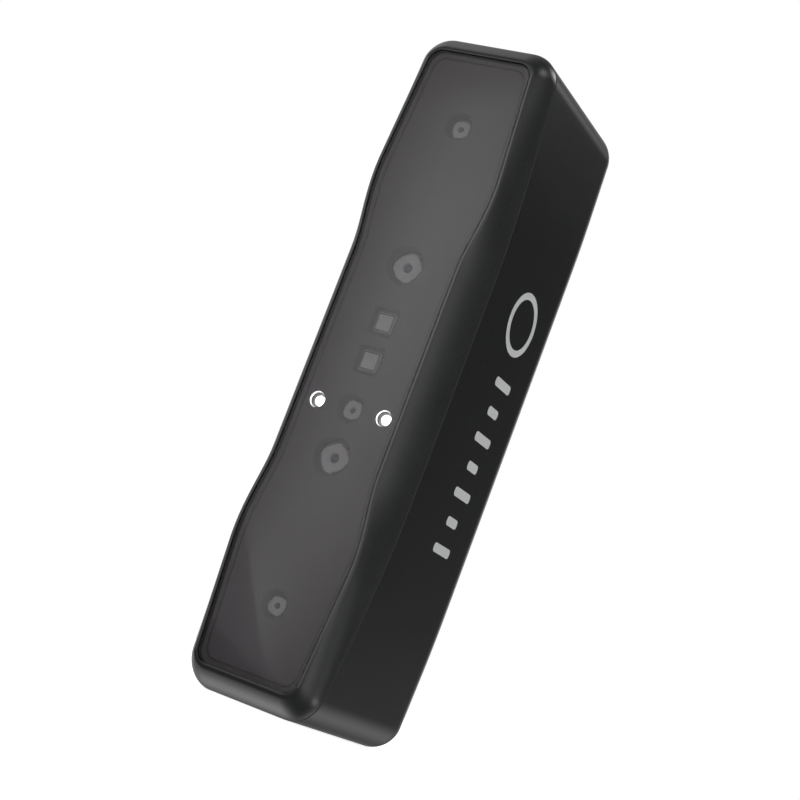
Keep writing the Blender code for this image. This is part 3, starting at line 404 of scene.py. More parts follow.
def metal(name, colour, roughness, stretch=(1.0, 1.0, 1.0), grain=0.12, grain_depth=0.002, metallic=1.0):
    """Metal with fine machining marks, drawn out along the axis whose stretch is small."""
    made, tree, shader = new_material(name)
    link = tree.links.new
    where = wire(tree, "ShaderNodeMapping", Vector=position(tree), Scale=stretch).outputs[0]
    marks = noise(tree, grain, 3.0, where)
    link(tint(tree, colour, spread(tree, noise(tree, 4.0, 3.0), 0.88, 1.1)), shader.inputs["Base Color"])
    link(spread(tree, marks, roughness - 0.08, roughness + 0.1), shader.inputs["Roughness"])
    link(bump(tree, marks, grain_depth), shader.inputs["Normal"])
    shader.inputs["Metallic"].default_value = metallic
    return made


def tinted_glass():
    """Smoked cover glass: it hides most of what is behind it and carries soft reflections."""
    return moulded(
        "tinted_glass", (0.020, 0.016, 0.019), 0.06, grain_depth=0.0, uneven=0.02, gloss_change=0.01,
        Alpha=0.35, Coat_Weight=1.0, Coat_Roughness=0.02, Coat_IOR=1.5, Specular_IOR_Level=0.5,
    )


def circuit_board():
    """Green solder mask over copper tracks, with small tinned pads."""
    made, tree, shader = new_material("board_green")
    link = tree.links.new
    where = position(tree)
    turned = wire(tree, "ShaderNodeMapping", Vector=where, Rotation=(math.radians(90), 0, 0)).outputs[0]
    tracks = wire(
        tree, "ShaderNodeTexBrick", Vector=turned,
        Color1=(0.008, 0.055, 0.022, 1), Color2=(0.012, 0.075, 0.03, 1),
        Mortar=(0.03, 0.14, 0.05, 1), Scale=1 / (6 * MM), Mortar_Size=0.03, Mortar_Smooth=0.2,
    ).outputs[0]
    cells = wire(tree, "ShaderNodeTexVoronoi", Vector=where, Scale=1 / (2.2 * MM)).outputs["Distance"]
    pads = spread(tree, cells, 1.0, 0.0, 0.16, 0.19)
    mixed = wire(tree, "ShaderNodeMix", {"data_type": "RGBA"}, Factor=pads)
    link(tracks, mixed.inputs["A"])
    mixed.inputs["B"].default_value = (0.55, 0.5, 0.42, 1)
    link(mixed.outputs["Result"], shader.inputs["Base Color"])
    link(pads, shader.inputs["Metallic"])
    link(spread(tree, noise(tree, 2.0, 3.0), 0.3, 0.5), shader.inputs["Roughness"])
    link(bump(tree, pads, 0.02), shader.inputs["Normal"])
    return made


def glowing(name, strength):
    """A lit diffuser, a little uneven across its face. On the light sleeves, which are no lamps, it is a
    painted glow.
    """
    made = moulded(name, (0.85, 0.86, 0.88), 0.3, grain_depth=0.001)
    tree, shader = made.node_tree, made.node_tree.nodes["Principled BSDF"]
    glow = spread(tree, noise(tree, 0.6), strength * 0.9, strength)
    tree.links.new(glow, shader.inputs["Emission Strength"])
    shader.inputs["Emission Color"].default_value = (1.0, 1.0, 1.0, 1.0)
    return made


MATERIALS = {
    "tinted_glass": tinted_glass(),
    "gloss_black": moulded(
        "gloss_black", (0.024, 0.025, 0.025), 0.12, grain_depth=0.0002, gloss_change=0.015
    ),
    "satin_black": moulded(
        "satin_black", (0.0052, 0.0057, 0.0062), 0.2, grain_depth=0.0002, gloss_change=0.02
    ),
    "mask_black": moulded("mask_black", (0.11, 0.09, 0.105), 0.7, grain_depth=0.0003, uneven=0.02),
    "foam_black": moulded("foam_black", (0.11, 0.09, 0.105), 0.9, grain=0.25, grain_depth=0.005),
    "lens_grey": metal("lens_grey", (0.80, 0.77, 0.79, 1), 0.5, metallic=0.0),
    "holder_black": moulded("holder_black", (0.020, 0.019, 0.020), 0.6),
    "window_clear": moulded("window_clear", (0.80, 0.78, 0.80), 0.3, grain=0.3, grain_depth=0.01),
    "light_white": moulded("light_white", (0.82, 0.83, 0.85), 0.35, grain_depth=0.002, Subsurface_Weight=0.1),
    "board_green": circuit_board(),
    "cast_aluminium": metal("cast_aluminium", (0.56, 0.56, 0.57, 1), 0.45, grain=0.3, grain_depth=0.01),
    "steel": metal("steel", (0.52, 0.52, 0.51, 1), 0.3, stretch=(0.1, 1.0, 1.0)),
    "brass": metal("brass", (0.60, 0.43, 0.17, 1), 0.28),
    "pad_blue": moulded("pad_blue", (0.25, 0.35, 0.48), 0.8, grain_depth=0.02),
    "flex_amber": moulded("flex_amber", (0.35, 0.16, 0.02), 0.35),
    "button_grey": moulded("button_grey", (0.040, 0.041, 0.043), 0.42, grain_depth=0.004),
}
WHITE_PRINT = moulded("white_print", (0.78, 0.79, 0.79), 0.5, uneven=0.05)
LED_GLOW = glowing("led_glow", 12.0)
# Painted glow: the sleeve is no lamp, so this emission on its mouth stands in for the LED's light falling on
# it.
PAINTED_SLEEVE_GLOW = glowing("painted_sleeve_glow", 1.6)
INDICATOR_GLOW = glowing("indicator_glow", 0.5)
LENS_COATING = metal("lens_coating", (0.03, 0.05, 0.12, 1), 0.14, metallic=0.6)
GOLD = metal("gold_contact", (0.75, 0.55, 0.2, 1), 0.25)


# Front


def make_window():
    edge = -GLASS_GAP
    bevel = 0.12
    rings = [rim_outline(edge, GLASS.back), rim_outline(edge, GLASS.front + bevel)]
    for step in range(1, 7):
        a = math.pi / 2 * step / 6
        rings.append(rim_outline(edge - bevel * (1 - math.cos(a)), GLASS.front + bevel * (1 - math.sin(a))))
    glass = Solid().loft(rings).object("cover_glass", [MATERIALS["tinted_glass"]])
    fit(glass, "tinted_glass", "front_window")


def make_bezel():
    """A thin rim round the glass, and a rounded flare from the rim back to the seam."""
    rim = rim_outline(RIM_WIDTH, 0.0)
    seam = seam_outline(0.0, -SEAM_GAP / 2 - EDGE)
    rings = [rim_outline(0.0, RIM_LIP), rim_outline(RIM_LIP, 0.0), rim_outline(RIM_WIDTH - RIM_LIP, 0.0)]
    low, high = math.sin(FLARE_START), math.sin(FLARE_END)
    near, far = math.cos(FLARE_START), math.cos(FLARE_END)
    for step in range(1, FLARE_STEPS + 1):
        a = FLARE_START + (FLARE_END - FLARE_START) * step / FLARE_STEPS
        share, down = (math.sin(a) - low) / (high - low), (near - math.cos(a)) / (near - far)
        rings.append(between(rim, seam, share, down))
    inner_seam = seam_outline(WALL, -SEAM_GAP / 2)
    ledge_front, ledge_back = GLASS.back + 0.8, GLASS.back + 2.1
    ledge = rim_outline(-LEDGE_REACH, ledge_back)
    rings += [
        seam_outline(EDGE, -SEAM_GAP / 2),
        inner_seam,
        between(ledge, at_depth(inner_seam, ledge_back), 0.55),
        ledge,
        rim_outline(-LEDGE_REACH, ledge_front),
        rim_outline(0.0, ledge_front),
    ]
    bezel = Solid().loft(rings, closed=True).object("bezel_shell", [MATERIALS["gloss_black"]])
    fit(bezel, "gloss_black", "front_bezel")


CAMERAS = ("far_upper", "near_upper", "colour", "near_lower", "far_lower")
PROJECTORS = ("upper", "lower")
SIDES = ("left", "right")
TAB_TURN = 40  # each lens is turned this many degrees further than the last
APERTURE_SHARE = 0.34  # of a lens's radius
WELL_MARGIN = 1.05
SKIRT_WALL = 0.8
PLATE = 1.2


def well(tool, ring, front, back, chamfer=0.42):
    """A cutter with a chamfered mouth. ring is a function of growth and depth."""
    tool.loft([
        ring(chamfer + 0.1, front - 0.1),
        ring(chamfer, front),
        ring(0.0, front + chamfer * 0.8),
        ring(0.0, back),
    ])


def make_mask():
    """A moulded plate with a deep well round each lens, each projector and each light."""
    front, plate_back = MASK.front, MASK.front + PLATE
    skirt_top = plate_back - 0.4
    edge = -LEDGE_REACH - 0.3
    plate = Solid().loft([rim_outline(edge, front), rim_outline(edge, plate_back)])
    mask = plate.object("mask_plate", [MATERIALS["mask_black"]])
    skirts, wells = Solid(), Solid()
    for name in CAMERAS:
        lens = box_of(f"lens_{name}")
        radius = lens.width / 2 + WELL_MARGIN
        skirts.loft([circle(radius + SKIRT_WALL, d, z=lens.z) for d in (skirt_top, MASK.back)])
        well(wells, lambda grow, d: circle(radius + grow, d, z=lens.z), front, MASK.back + 1.0)
    for name in PROJECTORS:
        pane = box_of(f"projector_window_{name}")
        side = pane.width + 2 * WELL_MARGIN
        outer = side + 2 * SKIRT_WALL
        skirts.loft([rounded_rectangle(outer, outer, 0.3, d, z=pane.z) for d in (skirt_top, MASK.back)])
        well(
            wells,
            lambda grow, d: rounded_rectangle(side + 2 * grow, side + 2 * grow, 1.0 + grow, d, z=pane.z),
            front, MASK.back + 1.0,
        )
    for name in SIDES:
        sleeve = box_of(f"light_sleeve_{name}")
        radius = sleeve.width / 2 + 0.3
        skirts.loft([circle(radius + SKIRT_WALL, d, sleeve.x, sleeve.z) for d in (skirt_top, MASK.back)])
        well(wells, lambda grow, d: circle(radius + grow, d, sleeve.x, sleeve.z), front, MASK.back + 1.0, 0.2)
    combine(mask, ("UNION", skirts), ("DIFFERENCE", wells))
    fit(mask, "mask_black", "optics_mask")


TAB_HEIGHT = 0.35
TABS = ((18, 62), (118, 162), (228, 262), (318, 342))  # degrees round the lens ring, for the large lenses


def notched(radius, depth, z, tabs, turn, sides=120):
    points = []
    for i in range(sides):
        degrees = 360 * (i + 0.5) / sides
        on_tab = any(low <= (degrees - turn) % 360 <= high for low, high in tabs)
        reach = radius if on_tab else radius - TAB_HEIGHT * radius / 3.9
        a = math.radians(degrees)
        points.append((reach * math.cos(a), depth, z + reach * math.sin(a)))
    return points


def make_camera(name, turn, hole_share):
    lens = box_of(f"lens_{name}")
    z, front, back, radius = lens.z, lens.front, lens.back, lens.width / 2
    hole = radius * hole_share
    sides = 120

    def ring(r, depth):
        return circle(r, depth, z=z, sides=sides)

    barrel = Solid().loft([
        ring(hole * 0.92, front + 2.0),
        ring(hole * 0.93, front + 1.0),
        ring(hole * 0.95, front + 0.12),
        ring(hole, front),
        notched(radius - 0.12, front, z, TABS, turn),
        notched(radius, front + 0.12, z, TABS, turn),
        notched(radius, front + 0.7, z, TABS, turn),
        ring(radius - 0.36, front + 0.7),
        ring(radius - 0.36, back),
    ])
    fit(barrel.object(f"lens_barrel_{name}", [MATERIALS["lens_grey"]]), "lens_grey", f"lens_{name}")
    element = Solid()
    dome = hole * 0.86
    rings = [ring(dome, front + 1.1)]
    for step in range(0, 7):
        a = math.pi / 2 * step / 7
        rings.append(ring(dome * math.cos(a), front + 0.95 - 0.45 * dome * math.sin(a)))
    element.loft(rings)
    fit(element.object(f"lens_element_{name}", [LENS_COATING]), "tinted_glass")


def make_projectors():
    for name in PROJECTORS:
        pane = box_of(f"projector_window_{name}")
        side = pane.width
        rings = [rounded_rectangle(side, side, 0.45, pane.back, z=pane.z)]
        rings.append(rounded_rectangle(side, side, 0.45, pane.front + 0.15, z=pane.z))
        rings.append(rounded_rectangle(side - 0.3, side - 0.3, 0.35, pane.front, z=pane.z))
        rings.append(rounded_rectangle(side - 1.5, side - 1.5, 0.3, pane.front, z=pane.z))
        rings.append(rounded_rectangle(side - 1.7, side - 1.7, 0.3, pane.front + 0.06, z=pane.z))
        made = Solid().loft(rings).object(f"projector_pane_{name}", [MATERIALS["window_clear"]])
        fit(made, "window_clear", f"projector_window_{name}")
        make_projector_border(name, pane)


def make_projector_border(name, pane):
    """The black printed border that leaves a smaller clear square in the pane."""
    outer, inner = pane.width - 0.4, pane.width * 0.78
    border = Solid().loft([
        rounded_rectangle(outer, outer, 0.3, pane.front + 0.04, z=pane.z),
        rounded_rectangle(outer, outer, 0.3, pane.front - 0.04, z=pane.z),
        rounded_rectangle(inner, inner, 0.25, pane.front - 0.04, z=pane.z),
        rounded_rectangle(inner, inner, 0.25, pane.front + 0.04, z=pane.z),
    ], closed=True)
    fit(border.object(f"projector_border_{name}", [MATERIALS["holder_black"]]), "holder_black")


def make_lights():
    """A tapered sleeve with a painted glow round its mouth, and a glowing light pipe at its foot, each side
    of the colour lens.
    """
    for name in SIDES:
        sleeve, pipe = box_of(f"light_sleeve_{name}"), box_of(f"light_pipe_{name}")
        x, z = sleeve.x, sleeve.z
        outer, mouth = sleeve.width / 2, sleeve.width / 2 - 0.12
        bore = pipe.width / 2 + 0.2
        front = sleeve.front
        rings = [circle(r, d, x, z) for r, d in (
            (outer, front), (outer, sleeve.back), (bore, sleeve.back), (bore, pipe.front + 0.4),
            (bore + 0.08, pipe.front + 0.1), (bore + 0.3, front + 0.75), (mouth, front + 0.55),
        )]
        body = Solid().loft(rings, closed=True)
        made = body.object(f"light_tube_{name}", [MATERIALS["holder_black"], PAINTED_SLEEVE_GLOW])
        # The faces round the sleeve's mouth take the painted glow (material 1); the rest stay holder black.
        wall = front + 0.3
        for face in made.data.polygons:
            middle = face.center
            depth = (middle.y - cad_low.y) / MM
            reach = math.hypot(middle.x / MM - x, (middle.z - MIDDLE_Z) / MM - z)
            if depth < wall and reach < outer - 0.01:
                face.material_index = 1
        fit(made, "holder_black", f"light_sleeve_{name}")
        radius = pipe.width / 2
        rings = [circle(radius, pipe.back, x, z), circle(radius, pipe.front + 0.25, x, z)]
        for step in range(1, 6):
            a = math.pi / 2 * step / 6
            rings.append(circle(radius * math.cos(a * 0.8), pipe.front + 0.25 * (1 - math.sin(a)), x, z))
        made = Solid().loft(rings).object(f"light_guide_{name}", [LED_GLOW])
        fit(made, "light_white", f"light_pipe_{name}")


# Shells


def rounded_mouth(tool, ring, surface, outward, bottom, radius=0.25, steps=4):
    """A cutter whose mouth rounds the edge that it leaves. ring is a function of growth and place."""
    rings = [ring(radius + 0.05, surface + outward)]
    for step in range(steps + 1):
        a = math.pi / 2 * step / steps
        down = math.copysign(radius * (1 - math.cos(a)), outward)
        rings.append(ring(radius * (1 - math.sin(a)), surface - down))
    tool.loft(rings + [ring(0.0, bottom)])


def upright_circle(radius, z, depth, sides=72):
    turns = [2 * math.pi * (i + 0.5) / sides for i in range(sides)]
    return [(radius * math.cos(a), depth + radius * math.sin(a), z) for a in turns]


def usb_ring(grow, z):
    """The connector's outline, laid flat at this height."""
    width, height = USB.width + 2 * grow, USB.back - USB.front + 2 * grow
    flat = rounded_rectangle(width, height, height * SLOT_ROUNDING, 0.0, steps=10)
    middle = (USB.back + USB.front) / 2
    return [(x, middle + across, z) for x, _, across in flat]


def make_housing():
    """The deep shell, with the bars, bosses and openings inside and under it."""
    straight_end = BODY_DEPTH - REAR_RADIUS
    back = HOUSING.back
    start = seam_outline(0.0, SEAM_GAP / 2 + EDGE)
    end = body_outline(straight_end)
    rings = [seam_outline(EDGE, SEAM_GAP / 2)] + [between(start, end, i / 10) for i in range(11)]
    rings += [body_outline(straight_end + (back - straight_end) * i / 8) for i in range(1, 8)]
    rings += [body_outline(back - EDGE), body_outline(back, EDGE), body_outline(back, WALL)]
    rings += [body_outline(straight_end, WALL), seam_outline(WALL, SEAM_GAP / 2)]
    shell = Solid().loft(rings, closed=True).object("housing_shell", [MATERIALS["satin_black"]])
    inside = WALL / 2
    bars, holes = Solid(), Solid()
    screw, insert = box_of("bench_screw_upper_right"), box_of("tripod_insert")
    bar_front = box_of("holder_colour").front
    bar_width = 2 * (body_half_width(screw.z) - inside - 0.8)
    boss_back = COVER.front - 1.1
    for z in (screw.z, -screw.z):
        bars.loft([rounded_rectangle(bar_width, 10.0, 0.6, bar_front + d, z=z) for d in (0.0, 4.5)])
        for x in (screw.x, -screw.x):
            holes.loft([circle(0.97, bar_front + d, x, z, 24) for d in (-1.0, 5.5)])
    cover_screw = box_of("cover_screw_upper")
    boss_end = LENGTH / 2 - body_inset(boss_back) - inside
    low = cover_screw.z - 3.6
    for side in (1, -1):
        z = side * (low + boss_end) / 2
        bars.loft([rounded_rectangle(7.2, boss_end - low, 0.8, boss_back - d, z=z) for d in (9.5, 0.0)])
        holes.loft([circle(0.97, boss_back - d, 0, side * cover_screw.z, 24) for d in (7.5, -1.0)])
    middle = (insert.front + insert.back) / 2
    radius = insert.width / 2 + 0.3
    heights = (inside - LENGTH / 2, insert.top + 1.5)
    boss = Solid().loft([upright_circle(radius + 2.2, z, middle) for z in heights])
    bottom = -LENGTH / 2
    rounded_mouth(
        holes, lambda grow, z: upright_circle(radius + grow, z, middle), bottom, -1.0, insert.top + 0.3
    )
    rounded_mouth(holes, lambda grow, z: usb_ring(0.3 + grow, z), bottom, -1.0, bottom + WALL + 1.0, 0.45)
    combine(shell, ("UNION", bars), ("UNION", boss), ("DIFFERENCE", holes))
    fit(shell, "satin_black", "main_housing")


def make_cover():
    """The rounded rear face, with soft-edged openings for the buttons, indicator, vents and two screws."""
    front = COVER.front
    start = math.asin((front + EDGE - (BODY_DEPTH - REAR_RADIUS)) / REAR_RADIUS)
    inner = BODY_DEPTH - WALL
    rings = [at_depth(body_outline(d + WALL), d) for d in (inner, inner - 0.8)]
    rings += [body_outline(front, WALL), body_outline(front, EDGE)]
    for step in range(0, 17):
        a = start + (math.pi / 2 - start) * step / 16
        rings.append(body_outline(BODY_DEPTH - REAR_RADIUS * (1 - math.sin(a))))
    cover = Solid().loft(rings).object("cover_shell", [MATERIALS["satin_black"]])
    posts, cuts = Solid(), Solid()
    board, switch = box_of("button_board"), box_of("scan_switch")
    for z in (board.top - 3.0, board.bottom + 3.0):
        posts.loft([circle(1.7, d, 0, z, 32) for d in (switch.front, inner + 0.5)])
    screws = [box_of(f"cover_screw_{name}") for name in ("upper", "lower")]
    for screw in screws:
        posts.loft([circle(3.5, d, 0, screw.z, 48) for d in (front - 0.8, inner + 0.5)])
    through = front - 1.5
    for name in BUTTONS:
        key = box_of(name)
        radius = key.width / 2 - BUTTON_FLANGE + 0.3
        rounded_mouth(
            cuts, lambda grow, d: circle(radius + grow, d, 0, key.z, 96), BODY_DEPTH, 1.0, through, 0.4
        )
    rounded_mouth(cuts, lambda grow, d: indicator_ring(0.3 + grow, d), BODY_DEPTH, 1.0, through, 0.2)
    for z in vent_heights():
        rounded_mouth(
            cuts, lambda grow, d: rounded_rectangle(VENT_WIDTH + 2 * grow, VENT_HEIGHT + 2 * grow,
                                                    VENT_HEIGHT * SLOT_ROUNDING + grow, d, z=z),
            BODY_DEPTH, 1.0, through, 0.3,
        )
    for screw in screws:
        cuts.loft([circle(1.15, d, 0, screw.z, 48) for d in (front - 2.0, BODY_DEPTH + 1.0)])
    seats = Solid()
    for screw in screws:
        seat = screw.back - SCREW_HEAD - 0.3
        rounded_mouth(
            seats, lambda grow, d: circle(2.2 + grow, d, 0, screw.z, 48), BODY_DEPTH, 1.0, seat, 0.2
        )
    combine(cover, ("UNION", posts), ("DIFFERENCE", cuts), ("DIFFERENCE", seats))
    fit(cover, "satin_black", "rear_cover")


def vent_heights():
    start, count, pitch = INDICATOR.z + 10.0, 5, 4.0
    return [side * (start + row * pitch) for side in (1, -1) for row in range(count)]


def indicator_ring(grow, depth):
    height = 1.6 + 2 * grow
    return rounded_rectangle(7.0 + 2 * grow, height, height * SLOT_ROUNDING, depth, z=INDICATOR.z, steps=8)


# Rear controls


def make_button(name, body):
    """A round key: stem, flange and a softly dished cap with a printed pictogram."""
    key = box_of(name)
    z, radius = key.z, key.width / 2 - BUTTON_FLANGE
    flange_front, flange_back = COVER_INNER - 0.3 - BUTTON_FLANGE, COVER_INNER - 0.3
    face, dish, edge = key.back, 0.22, 0.45
    rings = [circle(1.8, key.front, 0, z), circle(1.8, flange_front, 0, z)]
    rings += [circle(radius + BUTTON_FLANGE, d, 0, z, 64) for d in (flange_front, flange_back)]
    rings += [circle(radius, flange_back, 0, z), circle(radius, face - edge, 0, z)]
    for step in range(1, 7):
        a = math.pi / 2 * step / 6
        rings.append(circle(radius - edge * (1 - math.cos(a)), face - edge * (1 - math.sin(a)), 0, z))
    inner = radius - edge - 0.5
    for step in range(0, 9):
        share = 1 - step / 9
        rings.append(circle(inner * share, face - dish * (1 - share * share), 0, z))
    cap = Solid().loft(rings).object(f"{name}_cap", [MATERIALS["button_grey"]])
    fit(cap, "button_grey", name, body=body)
    return z, face - dish


def print_piece(name, rings_list, body):
    """Raised print a few hundredths of a millimetre thick."""
    solid = Solid()
    for rings, closed in rings_list:
        solid.loft(rings, closed=closed)
    fit(solid.object(name, [WHITE_PRINT]), "light_white", body=body)


def bar_rings(width, height, front, back, z):
    return [rounded_rectangle(width, height, min(width, height) * 0.3, d, z=z) for d in (front, back)], False


def make_buttons():
    z, dish = make_button("scan_button", "scan_key")
    front, back = dish - 0.15, dish + 0.05
    ring = [circle(r, d, 0, z) for r, d in ((1.5, front), (1.5, back), (2.0, back), (2.0, front))]
    print_piece("scan_mark", [(ring, True)], "scan_key")
    z, dish = make_button("plus_button", "plus_key")
    front, back = dish - 0.15, dish + 0.05
    arm = 1.35
    cross = [(0.25, arm), (0.25, 0.25), (arm, 0.25)]
    quarter = cross + [(x, -y) for x, y in reversed(cross)]
    whole = quarter + [(-x, y) for x, y in reversed(quarter)]
    plus = [[(x, d, z + y) for x, y in whole] for d in (front, back)]
    print_piece("plus_mark", [(plus, False)], "plus_key")
    z, dish = make_button("minus_button", "minus_key")
    front, back = dish - 0.15, dish + 0.05
    print_piece("minus_mark", [bar_rings(2.7, 0.5, front, back, z)], "minus_key")


def make_indicator():
    flange = 0.9
    profile = (
        (0.0, INDICATOR.front), (0.0, COVER_INNER - 1.3), (flange, COVER_INNER - 1.3),
        (flange, COVER_INNER - 0.3), (0.0, COVER_INNER - 0.3), (0.0, INDICATOR.back - 0.15),
        (-0.06, INDICATOR.back - 0.04), (-0.16, INDICATOR.back),
    )
    guide = Solid().loft([indicator_ring(grow, d) for grow, d in profile])
    fit(guide.object("indicator_lens", [INDICATOR_GLOW]), "light_white", "indicator_guide")


def hexagon(radius, depth, z, sides=48):
    """A six-sided ring with as many points as a round one."""
    points = []
    for i in range(sides):
        a = 2 * math.pi * (i + 0.5) / sides
        reach = radius / math.cos((a + math.pi / 6) % (math.pi / 3) - math.pi / 6)
        points.append((reach * math.cos(a), depth, z + reach * math.sin(a)))
    return points


def make_cover_screw(name):
    node = box_of(f"cover_screw_{name}")
    z, top, head = node.z, node.back, node.width / 2
    seat = top - SCREW_HEAD
    pitch, shank = 0.45, 0.85
    rings = [circle(0.5, node.front, 0, z, 48)]
    turns = int((seat - node.front - 0.6) / pitch)
    for i in range(turns * 4):
        groove = 0.14 if i % 4 == 2 else 0.0
        rings.append(circle(shank - groove, node.front + 0.4 + pitch * i / 4, 0, z, 48))
    under_head = ((shank, seat), (head - 0.05, seat), (head, seat + 0.05))
    rings += [circle(r, d, 0, z, 48) for r, d in under_head]
    for step in range(0, 6):
        a = math.pi / 2 * step / 5
        rings.append(circle(head - 0.3 * (1 - math.cos(a)), top - 0.3 * (1 - math.sin(a)), 0, z, 48))
    rings += [circle(1.08, top, 0, z, 48), hexagon(0.86, top - 0.12, z), hexagon(0.86, top - 0.75, z)]
    screw = Solid().loft(rings).object(f"socket_screw_{name}", [MATERIALS["steel"]])
    fit(screw, "steel", f"cover_screw_{name}")


# Bottom end


def make_insert():
    """A brass insert with a camera thread cut inside it."""
    node = box_of("tripod_insert")
    middle, outer = (node.front + node.back) / 2, node.width / 2
    bore, thread, pitch, sides = 2.6, 0.42, 1.27, 72
    rings = [upright_circle(outer - 0.2, node.bottom, middle)]
    rings.append(upright_circle(outer, node.bottom + 0.2, middle))
    rings += [upright_circle(outer, node.top - 0.2, middle), upright_circle(outer - 0.2, node.top, middle)]
    rings.append(upright_circle(bore + thread + 0.1, node.top, middle))
    steps = 96
    low, high = node.bottom + 0.5, node.top - 0.4
    for i in range(steps + 1):
        z = high - (high - low) * i / steps
        ring = []
        for k in range(sides):
            turn = (k + 0.5) / sides
            phase = (z / pitch - turn) % 1.0
            crest = abs(phase - 0.5) * 2
            radius = bore + thread * min(max(1.2 * crest - 0.1, 0.0), 1.0)
            a = 2 * math.pi * turn
            ring.append((radius * math.cos(a), middle + radius * math.sin(a), z))
        rings.append(ring)
    rings.append(upright_circle(bore + 0.75, node.bottom, middle))
    made = Solid().loft(rings, closed=True).object("threaded_insert", [MATERIALS["brass"]])
    fit(made, "brass", "tripod_insert")


def make_usb():
    """The connector's shell, with a tongue that carries a row of gold contacts on each side."""
    mouth, end = USB.bottom, USB.top
    floor = end - 0.8
    middle = (USB.back + USB.front) / 2
    steps = ((-0.12, end), (0.0, end - 0.12), (0.0, mouth + 0.06), (-0.06, mouth))
    rings = [usb_ring(grow, z) for grow, z in steps]
    rings += [usb_ring(-0.24, mouth), usb_ring(-0.3, mouth + 0.06), usb_ring(-0.3, floor)]
    shell = Solid().loft(rings).object("usb_shell", [MATERIALS["steel"]])
    fit(shell, "steel", "usb_c_receptacle")

    def flat(width, height, z, x=0.0, depth=middle):
        ring = rounded_rectangle(width, height, min(width, height) * SLOT_ROUNDING, 0.0, x=x)
        return [(px, depth + across, z) for px, _, across in ring]

    steps = ((6.7, 0.7, floor + 0.1), (6.7, 0.7, mouth + 1.05), (6.5, 0.45, mouth + 0.9))
    tongue = Solid().loft([flat(*step) for step in steps])
    fit(tongue.object("usb_tongue", [MATERIALS["holder_black"]]), "holder_black")
    contacts = Solid()
    for i in range(12):
        x = (i - 5.5) * 0.5
        for side in (1, -1):
            depth = middle + side * 0.34
            contacts.loft([flat(0.25, 0.08, z, x, depth) for z in (floor, mouth + 1.5)])
    fit(contacts.object("usb_contacts", [GOLD]), "brass")


# Side mark


def on_side(points, low, high):
    """Rings for a flat shape printed on the +X side. Each point is (depth, z)."""
    return [[(body_half_width(z) + rise, depth, z) for depth, z in points] for rise in (low, high)]


def side_circle(radius, depth, z, sides=64):
    turns = [2 * math.pi * i / sides for i in range(sides)]
    return [(depth + radius * math.cos(a), z + radius * math.sin(a)) for a in turns]


def make_mark():
    """A plain ring and a row of plain bars, printed on the right side."""
    below, above = -0.1, 0.03
    depth, z = 35.0, 26.0
    inner, outer = 6.6, 8.4
    (inner_low, inner_high), (outer_low, outer_high) = (
        on_side(side_circle(radius, depth, z), below, above) for radius in (inner, outer)
    )
    solid = Solid().loft([outer_low, outer_high, inner_high, inner_low], closed=True)
    bars, long_bar, short_bar, bar_width, spacing, first = 7, 10.0, 6.4, 2.4, 7.4, 10.0
    for row in range(bars):
        length = short_bar if row % 2 else long_bar
        middle = first - row * spacing
        ring = rounded_rectangle(length, bar_width, 0.9, 0.0)
        solid.loft(on_side([(depth + 2.0 + x, middle + y) for x, _, y in ring], below, above))
    fit(solid.object("side_print", [WHITE_PRINT]), "light_white")


# Stage


def direction(azimuth, elevation):
    """Azimuth 0 is out of the window, 90 is towards +X."""
    a, e = math.radians(azimuth), math.radians(elevation)
    return (math.sin(a) * math.cos(e), -math.cos(a) * math.cos(e), math.sin(e))


# Azimuth, elevation and spread in degrees, then strength. All but "behind" and "left" began as values from
# a numerical fit of the lights, rounded or merged, and most were then changed.
SOFTBOXES = {
    "front_left": (-26, 13, 9, 2.1),
    "front_fill": (15, 25, 18, 1.5),
    "right": (80, 0, 20, 1.1),
    "right_low": (120, -15, 7, 1.6),
    "back_right": (153, 40, 7, 3.6),
    "back_low": (155, -30, 14, 1.0),
    "behind": (-168, 10, 11, 0.9),
    "left": (-115, 0, 20, 0.8),
    "top": (100, 50, 8, 1.8),
    "top_left": (-90, 50, 20, 0.8),
    "below": (-110, -65, 18, 2.2),
}
AMBIENT = 0.08
CARD = SimpleNamespace(azimuth=-34, elevation=-3, spread=5, strength=1.6, corners=((-31, 0.5), (-29, -0.5)))
VIEW = SimpleNamespace(  # degrees and millimetres, rounded from a camera fit
    azimuth=28.1, elevation=-9.2, roll=20.9, distance=442, aim=(3.4, -13.1, 81.7), focal_length=81
)


def summed(tree, values):
    total = values[0]
    for value in values[1:]:
        total = wire(tree, "ShaderNodeMath", {"operation": "ADD"}, _0=total, _1=value).outputs[0]
    return total


def lobe(tree, ray, azimuth, elevation, spread_degrees, strength):
    """Light that fades like a bell curve with the angle from its centre."""
    towards = direction(azimuth, elevation)
    facing = wire(tree, "ShaderNodeVectorMath", {"operation": "DOT_PRODUCT"}, _0=ray, _1=towards)
    sharp = 1 / math.radians(spread_degrees) ** 2
    power = wire(
        tree, "ShaderNodeMath", {"operation": "MULTIPLY_ADD"}, _0=facing.outputs["Value"], _1=sharp, _2=-sharp
    ).outputs[0]
    bell = wire(tree, "ShaderNodeMath", {"operation": "EXPONENT"}, _0=power).outputs[0]
    return wire(tree, "ShaderNodeMath", {"operation": "MULTIPLY"}, _0=bell, _1=strength).outputs[0]


def card(tree, ray):
    """A white card on the left, with one straight edge that shows in the cover glass."""
    first, second = (Vector(direction(*corner)) for corner in CARD.corners)
    glow = lobe(tree, ray, CARD.azimuth, CARD.elevation, CARD.spread, CARD.strength)
    across = first.cross(second).normalized()
    side = wire(tree, "ShaderNodeVectorMath", {"operation": "DOT_PRODUCT"}, _0=ray, _1=across)
    inside = spread(tree, side.outputs["Value"], 0.0, 1.0, -0.0004, 0.0004)
    return wire(tree, "ShaderNodeMath", {"operation": "MULTIPLY"}, _0=glow, _1=inside).outputs[0]


